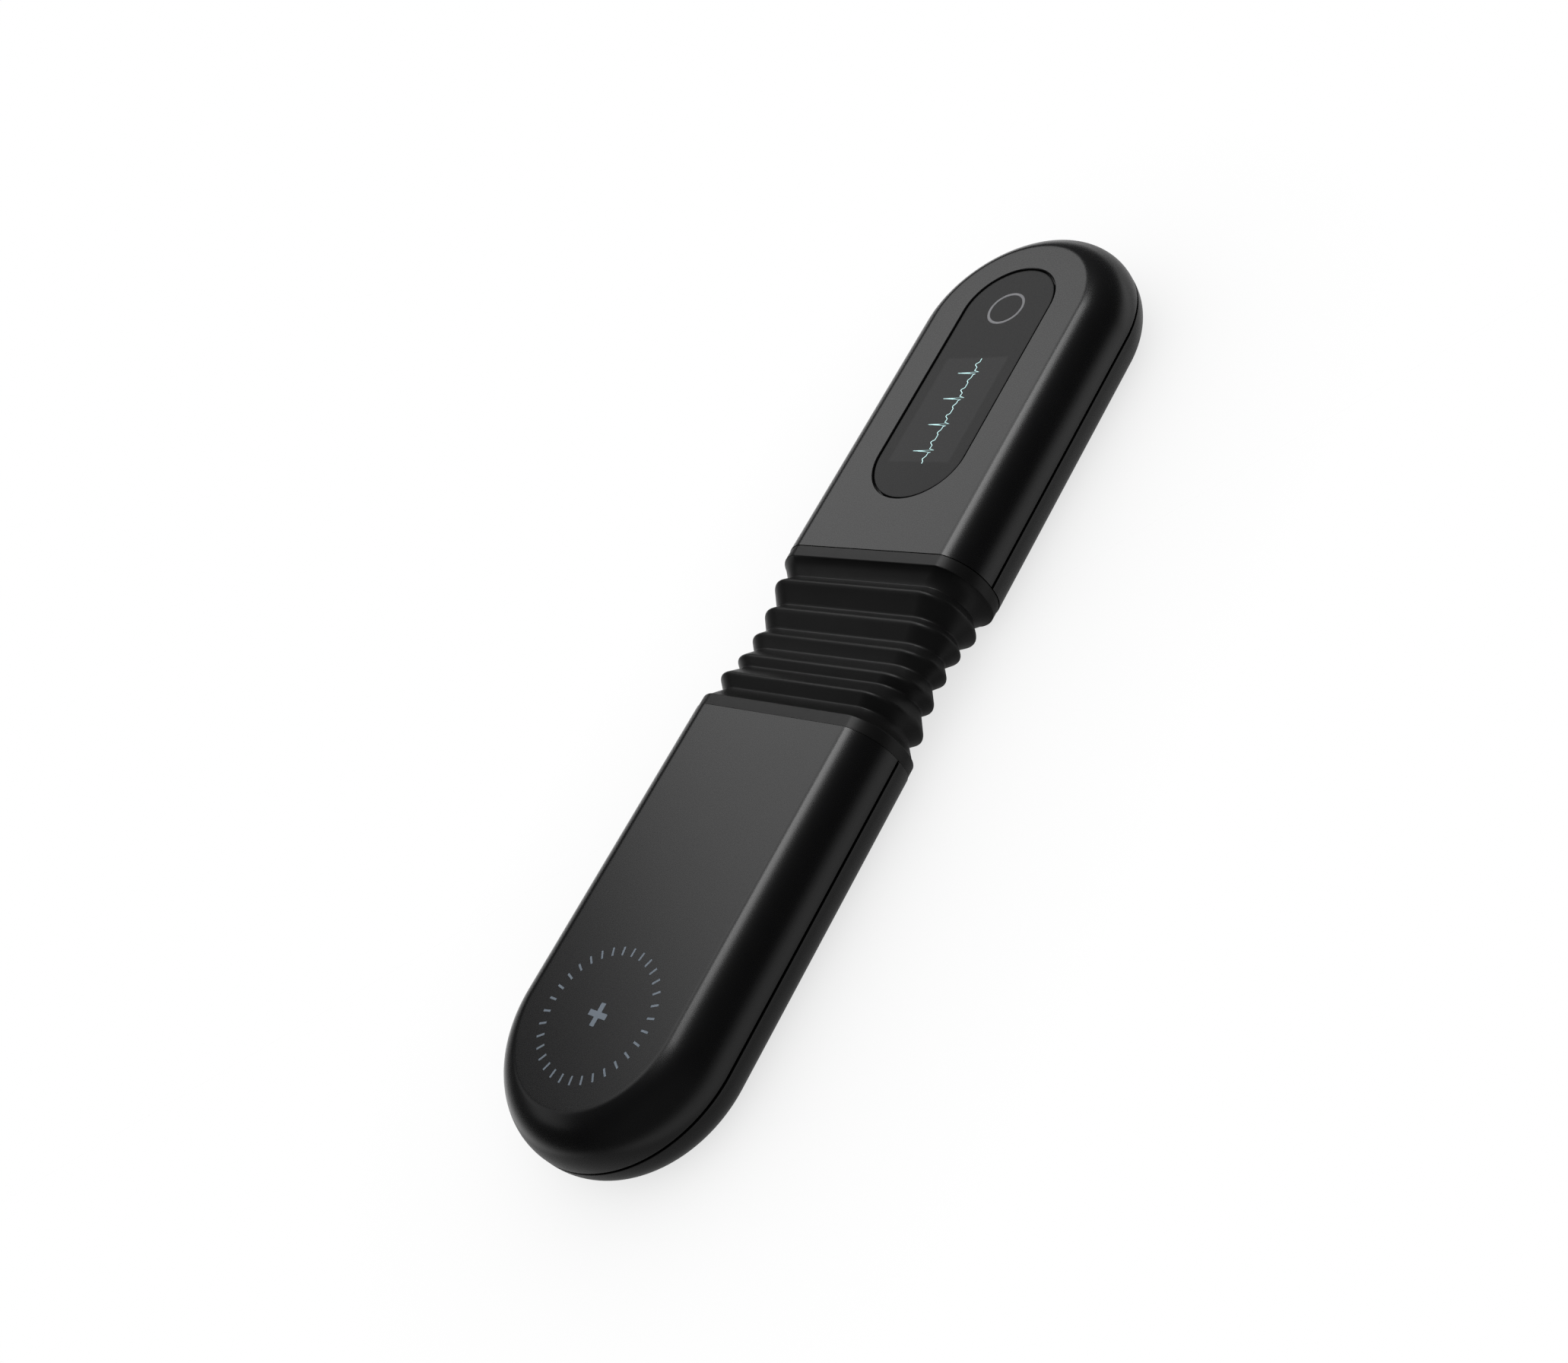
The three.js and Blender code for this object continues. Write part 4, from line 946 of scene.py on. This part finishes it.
# The bellows, in two pieces that meet at the middle rib
RIB_COUNT = 5
COLLAR_LENGTH = 2.05 * MM
COLLAR_INSET = 0.1 * MM
COLLAR_ROUNDING = 0.2 * MM
RIB_SIDE_DEPTH = 1.15 * MM
RIB_CORNER = 5.65 * MM
CREST_ROUNDING = 0.5 * MM
VALLEY_ROUNDING = 0.3 * MM
VALLEY_LEAN = 0.6 * MM
RUBBER_WALL = 0.7 * MM
WAIST_CREST = 4.85 * MM
WAIST_VALLEY = 3.3 * MM
SLEEVE_GAP = 0.1 * MM
RIB_INSET = 0.75 * MM
CREST_INSET = 0.15 * MM
VALLEY_INSET = 1.45 * MM
SLEEVE_END_Y = SEAM_Y - SLEEVE_GAP
FRAME_GAP_MIDDLE_Y = (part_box("bellows")[1].y + SEAM_Y) / 2
RIBBED_HALF = FRAME_GAP_MIDDLE_Y - COLLAR_LENGTH
RIB_PITCH = 2 * RIBBED_HALF / (RIB_COUNT + 1)
RIB_HALF_WIDTH = HALF_WIDTH - RIB_INSET
END_CREST = MID_Z - CREST_INSET
END_VALLEY = MID_Z - VALLEY_INSET


def eased(share):
    """Climb from zero to one with a level start and a level end."""
    return share ** 3 * (share * (6 * share - 15) + 10)


def rib_reach(y, depth_share):
    """Half the sleeve's width and height. The depth share is zero on a crest and one in a valley."""
    way_out = min(1, abs(y) / RIBBED_HALF)
    crest = WAIST_CREST + (END_CREST - WAIST_CREST) * eased(way_out)
    valley = WAIST_VALLEY + (END_VALLEY - WAIST_VALLEY) * way_out
    return RIB_HALF_WIDTH - RIB_SIDE_DEPTH * depth_share, crest + (valley - crest) * depth_share


def valley_place(rib):
    """Where the valley outside a rib lies: it leans to the middle where the waist is steepest."""
    even_y = (rib + 0.5) * RIB_PITCH
    way_out = even_y / RIBBED_HALF
    lean_share = (4 * way_out * (1 - way_out)) ** 2
    return even_y - VALLEY_LEAN * lean_share


def flank(crest_y, valley_y):
    """Places from a crest to a valley with their depth share, straight but for its rounded ends."""
    way = math.copysign(1, valley_y - crest_y)
    length = abs(valley_y - crest_y)
    slope = 1 / (length - CREST_ROUNDING / 2 - VALLEY_ROUNDING / 2)
    steps = 4
    places = []
    for step in range(steps + 1):
        offset = CREST_ROUNDING * step / steps
        places.append((crest_y + way * offset, slope * offset ** 2 / (2 * CREST_ROUNDING)))
    for step in range(steps, -1, -1):
        offset = VALLEY_ROUNDING * step / steps
        places.append((valley_y - way * offset, 1 - slope * offset ** 2 / (2 * VALLEY_ROUNDING)))
    return places


def rib_wave():
    """The flanks from the first valley to the middle crest."""
    wave = []
    for rib in range(RIB_COUNT // 2, -1, -1):
        outer = flank(rib * RIB_PITCH, valley_place(rib))
        wave.extend(reversed(outer[1:]))
        if rib > 0:
            wave.extend(flank(rib * RIB_PITCH, valley_place(rib - 1))[:-1])
    wave.append((0, 0))
    return wave


def make_bellows_half(name, side):
    """The collar, then ring after ring of the ribbed sleeve to the middle of the recorder."""
    piece = collar_tube(name, side)
    wave = rib_wave()
    y_before, depth_share = wave[0]
    width_before, height_before = rib_reach(y_before, depth_share)
    sleeve = first_ring(side * y_before, width_before, height_before)
    for y, depth_share in wave[1:]:
        width, height = rib_reach(y, depth_share)
        bpy.ops.mesh.extrude_region_move(TRANSFORM_OT_translate={"value": (0, side * (y - y_before), 0)})
        bpy.ops.transform.resize(
            value=(width / width_before, 1, height / height_before), center_override=(0, side * y, MID_Z))
        width_before = width
        height_before = height
        y_before = y
    bpy.ops.object.mode_set(mode="OBJECT")
    bpy.ops.object.select_all(action="DESELECT")
    sleeve.select_set(True)
    piece.select_set(True)
    bpy.context.view_layer.objects.active = piece
    bpy.ops.object.join()
    shoulder_y = side * RIBBED_HALF
    first_y = side * wave[0][0]
    select_where(piece, lambda co: min(abs(co.y - shoulder_y), abs(co.y - first_y)) < SAME_PLACE)
    bpy.ops.mesh.bridge_edge_loops()
    bpy.ops.mesh.select_all(action="SELECT")
    bpy.ops.mesh.normals_make_consistent(inside=False)
    bpy.ops.object.mode_set(mode="OBJECT")
    thicken(piece, RUBBER_WALL)
    shade(piece, 60)
    return piece


def thicken(piece, wall):
    """Give a surface its wall, inwards."""
    modifier = piece.modifiers.new("wall", "SOLIDIFY")
    modifier.thickness = wall
    modifier.offset = -1
    bpy.context.view_layer.objects.active = piece
    bpy.ops.object.modifier_apply(modifier=modifier.name)


def first_ring(y, half_width, half_height):
    """A closed section with a flat top and elliptical sides."""
    bpy.ops.object.select_all(action="DESELECT")
    bpy.ops.mesh.primitive_circle_add(vertices=RING_STEPS, radius=1, location=(0, 0, 0))
    ring = bpy.context.object
    bpy.ops.object.mode_set(mode="EDIT")
    bpy.ops.transform.rotate(value=RIGHT_ANGLE, orient_axis="X", center_override=(0, 0, 0))
    bpy.ops.transform.resize(value=(RIB_CORNER, 1, half_height), center_override=(0, 0, 0))
    bpy.ops.transform.translate(value=(0, y, MID_Z))
    for way in (1, -1):
        select_where(ring, lambda co: way * co.x > SAME_PLACE)
        bpy.ops.transform.translate(value=(way * (half_width - RIB_CORNER), 0, 0))
    bpy.ops.mesh.select_all(action="SELECT")
    return ring


def collar_tube(name, side):
    """The collar's outside, with the same section as the rigid halves, drawn in at its ribbed edge."""
    inset = COLLAR_INSET
    steps = 5
    pen = Pen(name, 0, side * SLEEVE_END_Y, TOP_Z - inset)
    pen.line_to(CREASE_X, TOP_Z - inset)
    pen.arc_about(CREASE_X, MID_Z + CREASE_RISE, -CREASE_ANGLE, CREASE_STEPS)
    pen.arc_about(SIDE_X, MID_Z + SIDE_RISE, -(RIGHT_ANGLE - CREASE_ANGLE), SIDE_STEPS)
    pen.line_to(HALF_WIDTH - inset, MID_Z - SIDE_RISE)
    pen.arc_about(SIDE_X, MID_Z - SIDE_RISE, -(RIGHT_ANGLE - CREASE_ANGLE), SIDE_STEPS)
    pen.arc_about(CREASE_X, MID_Z - CREASE_RISE, -CREASE_ANGLE, CREASE_STEPS)
    pen.line_to(0, inset)
    bpy.ops.mesh.select_all(action="SELECT")
    bpy.ops.mesh.spin(
        steps=1, angle=HALF_TURN, dupli=True, center=(0, side * SLEEVE_END_Y, MID_Z), axis=(0, 1, 0))
    bpy.ops.mesh.select_all(action="SELECT")
    bpy.ops.mesh.remove_doubles(threshold=MERGE_REACH)
    bpy.ops.mesh.select_all(action="SELECT")
    edge_y = RIBBED_HALF + COLLAR_ROUNDING
    bpy.ops.mesh.extrude_region_move(
        TRANSFORM_OT_translate={"value": (0, side * (edge_y - SLEEVE_END_Y), 0)})
    reach_before = 0
    y_before = edge_y
    for step in range(1, steps + 1):
        turn = RIGHT_ANGLE * step / steps
        y = edge_y - COLLAR_ROUNDING * math.sin(turn)
        reach = COLLAR_ROUNDING * (1 - math.cos(turn))
        bpy.ops.mesh.extrude_region_move(TRANSFORM_OT_translate={"value": (0, side * (y - y_before), 0)})
        width_share = (HALF_WIDTH - inset - reach) / (HALF_WIDTH - inset - reach_before)
        height_share = (MID_Z - inset - reach) / (MID_Z - inset - reach_before)
        bpy.ops.transform.resize(
            value=(width_share, 1, height_share), center_override=(0, side * y, MID_Z))
        reach_before = reach
        y_before = y
    bpy.ops.object.mode_set(mode="OBJECT")
    return pen.piece


def settle_blended(piece, side, material, node):
    """Give a piece its finish, hide the node that it stands for and bake its place into its mesh."""
    piece.data.materials.clear()
    piece.data.materials.append(material)
    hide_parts(node)
    if side > 0:
        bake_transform(piece)
    else:
        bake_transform(piece)


def add_bellows():
    for side, name in ((1, "display_side_bellows"), (-1, "electrode_side_bellows")):
        half = make_bellows_half(name, side)
        settle_blended(half, side, bellows_rubber, "bellows")


def add_cable_halves():
    """The ribbon cable, in two pieces that meet at the middle of the recorder."""
    slices = 20
    low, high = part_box("link_cable")
    for side, name in ((1, "display_side_cable"), (-1, "electrode_side_cable")):
        near_y, far_y = (0, high.y) if side > 0 else (low.y, 0)
        ribbon = add_box(name, (low.x, near_y, low.z), (high.x, far_y, high.z))
        bpy.ops.object.mode_set(mode="EDIT")
        for number in range(1, slices):
            bpy.ops.mesh.select_all(action="SELECT")
            y = near_y + (far_y - near_y) * number / slices
            bpy.ops.mesh.bisect(plane_co=(0, y, 0), plane_no=(0, 1, 0))
        bpy.ops.object.mode_set(mode="OBJECT")
        shade(ribbon)
        settle_blended(ribbon, side, flex_amber, "link_cable")


add_bellows()
add_cable_halves()
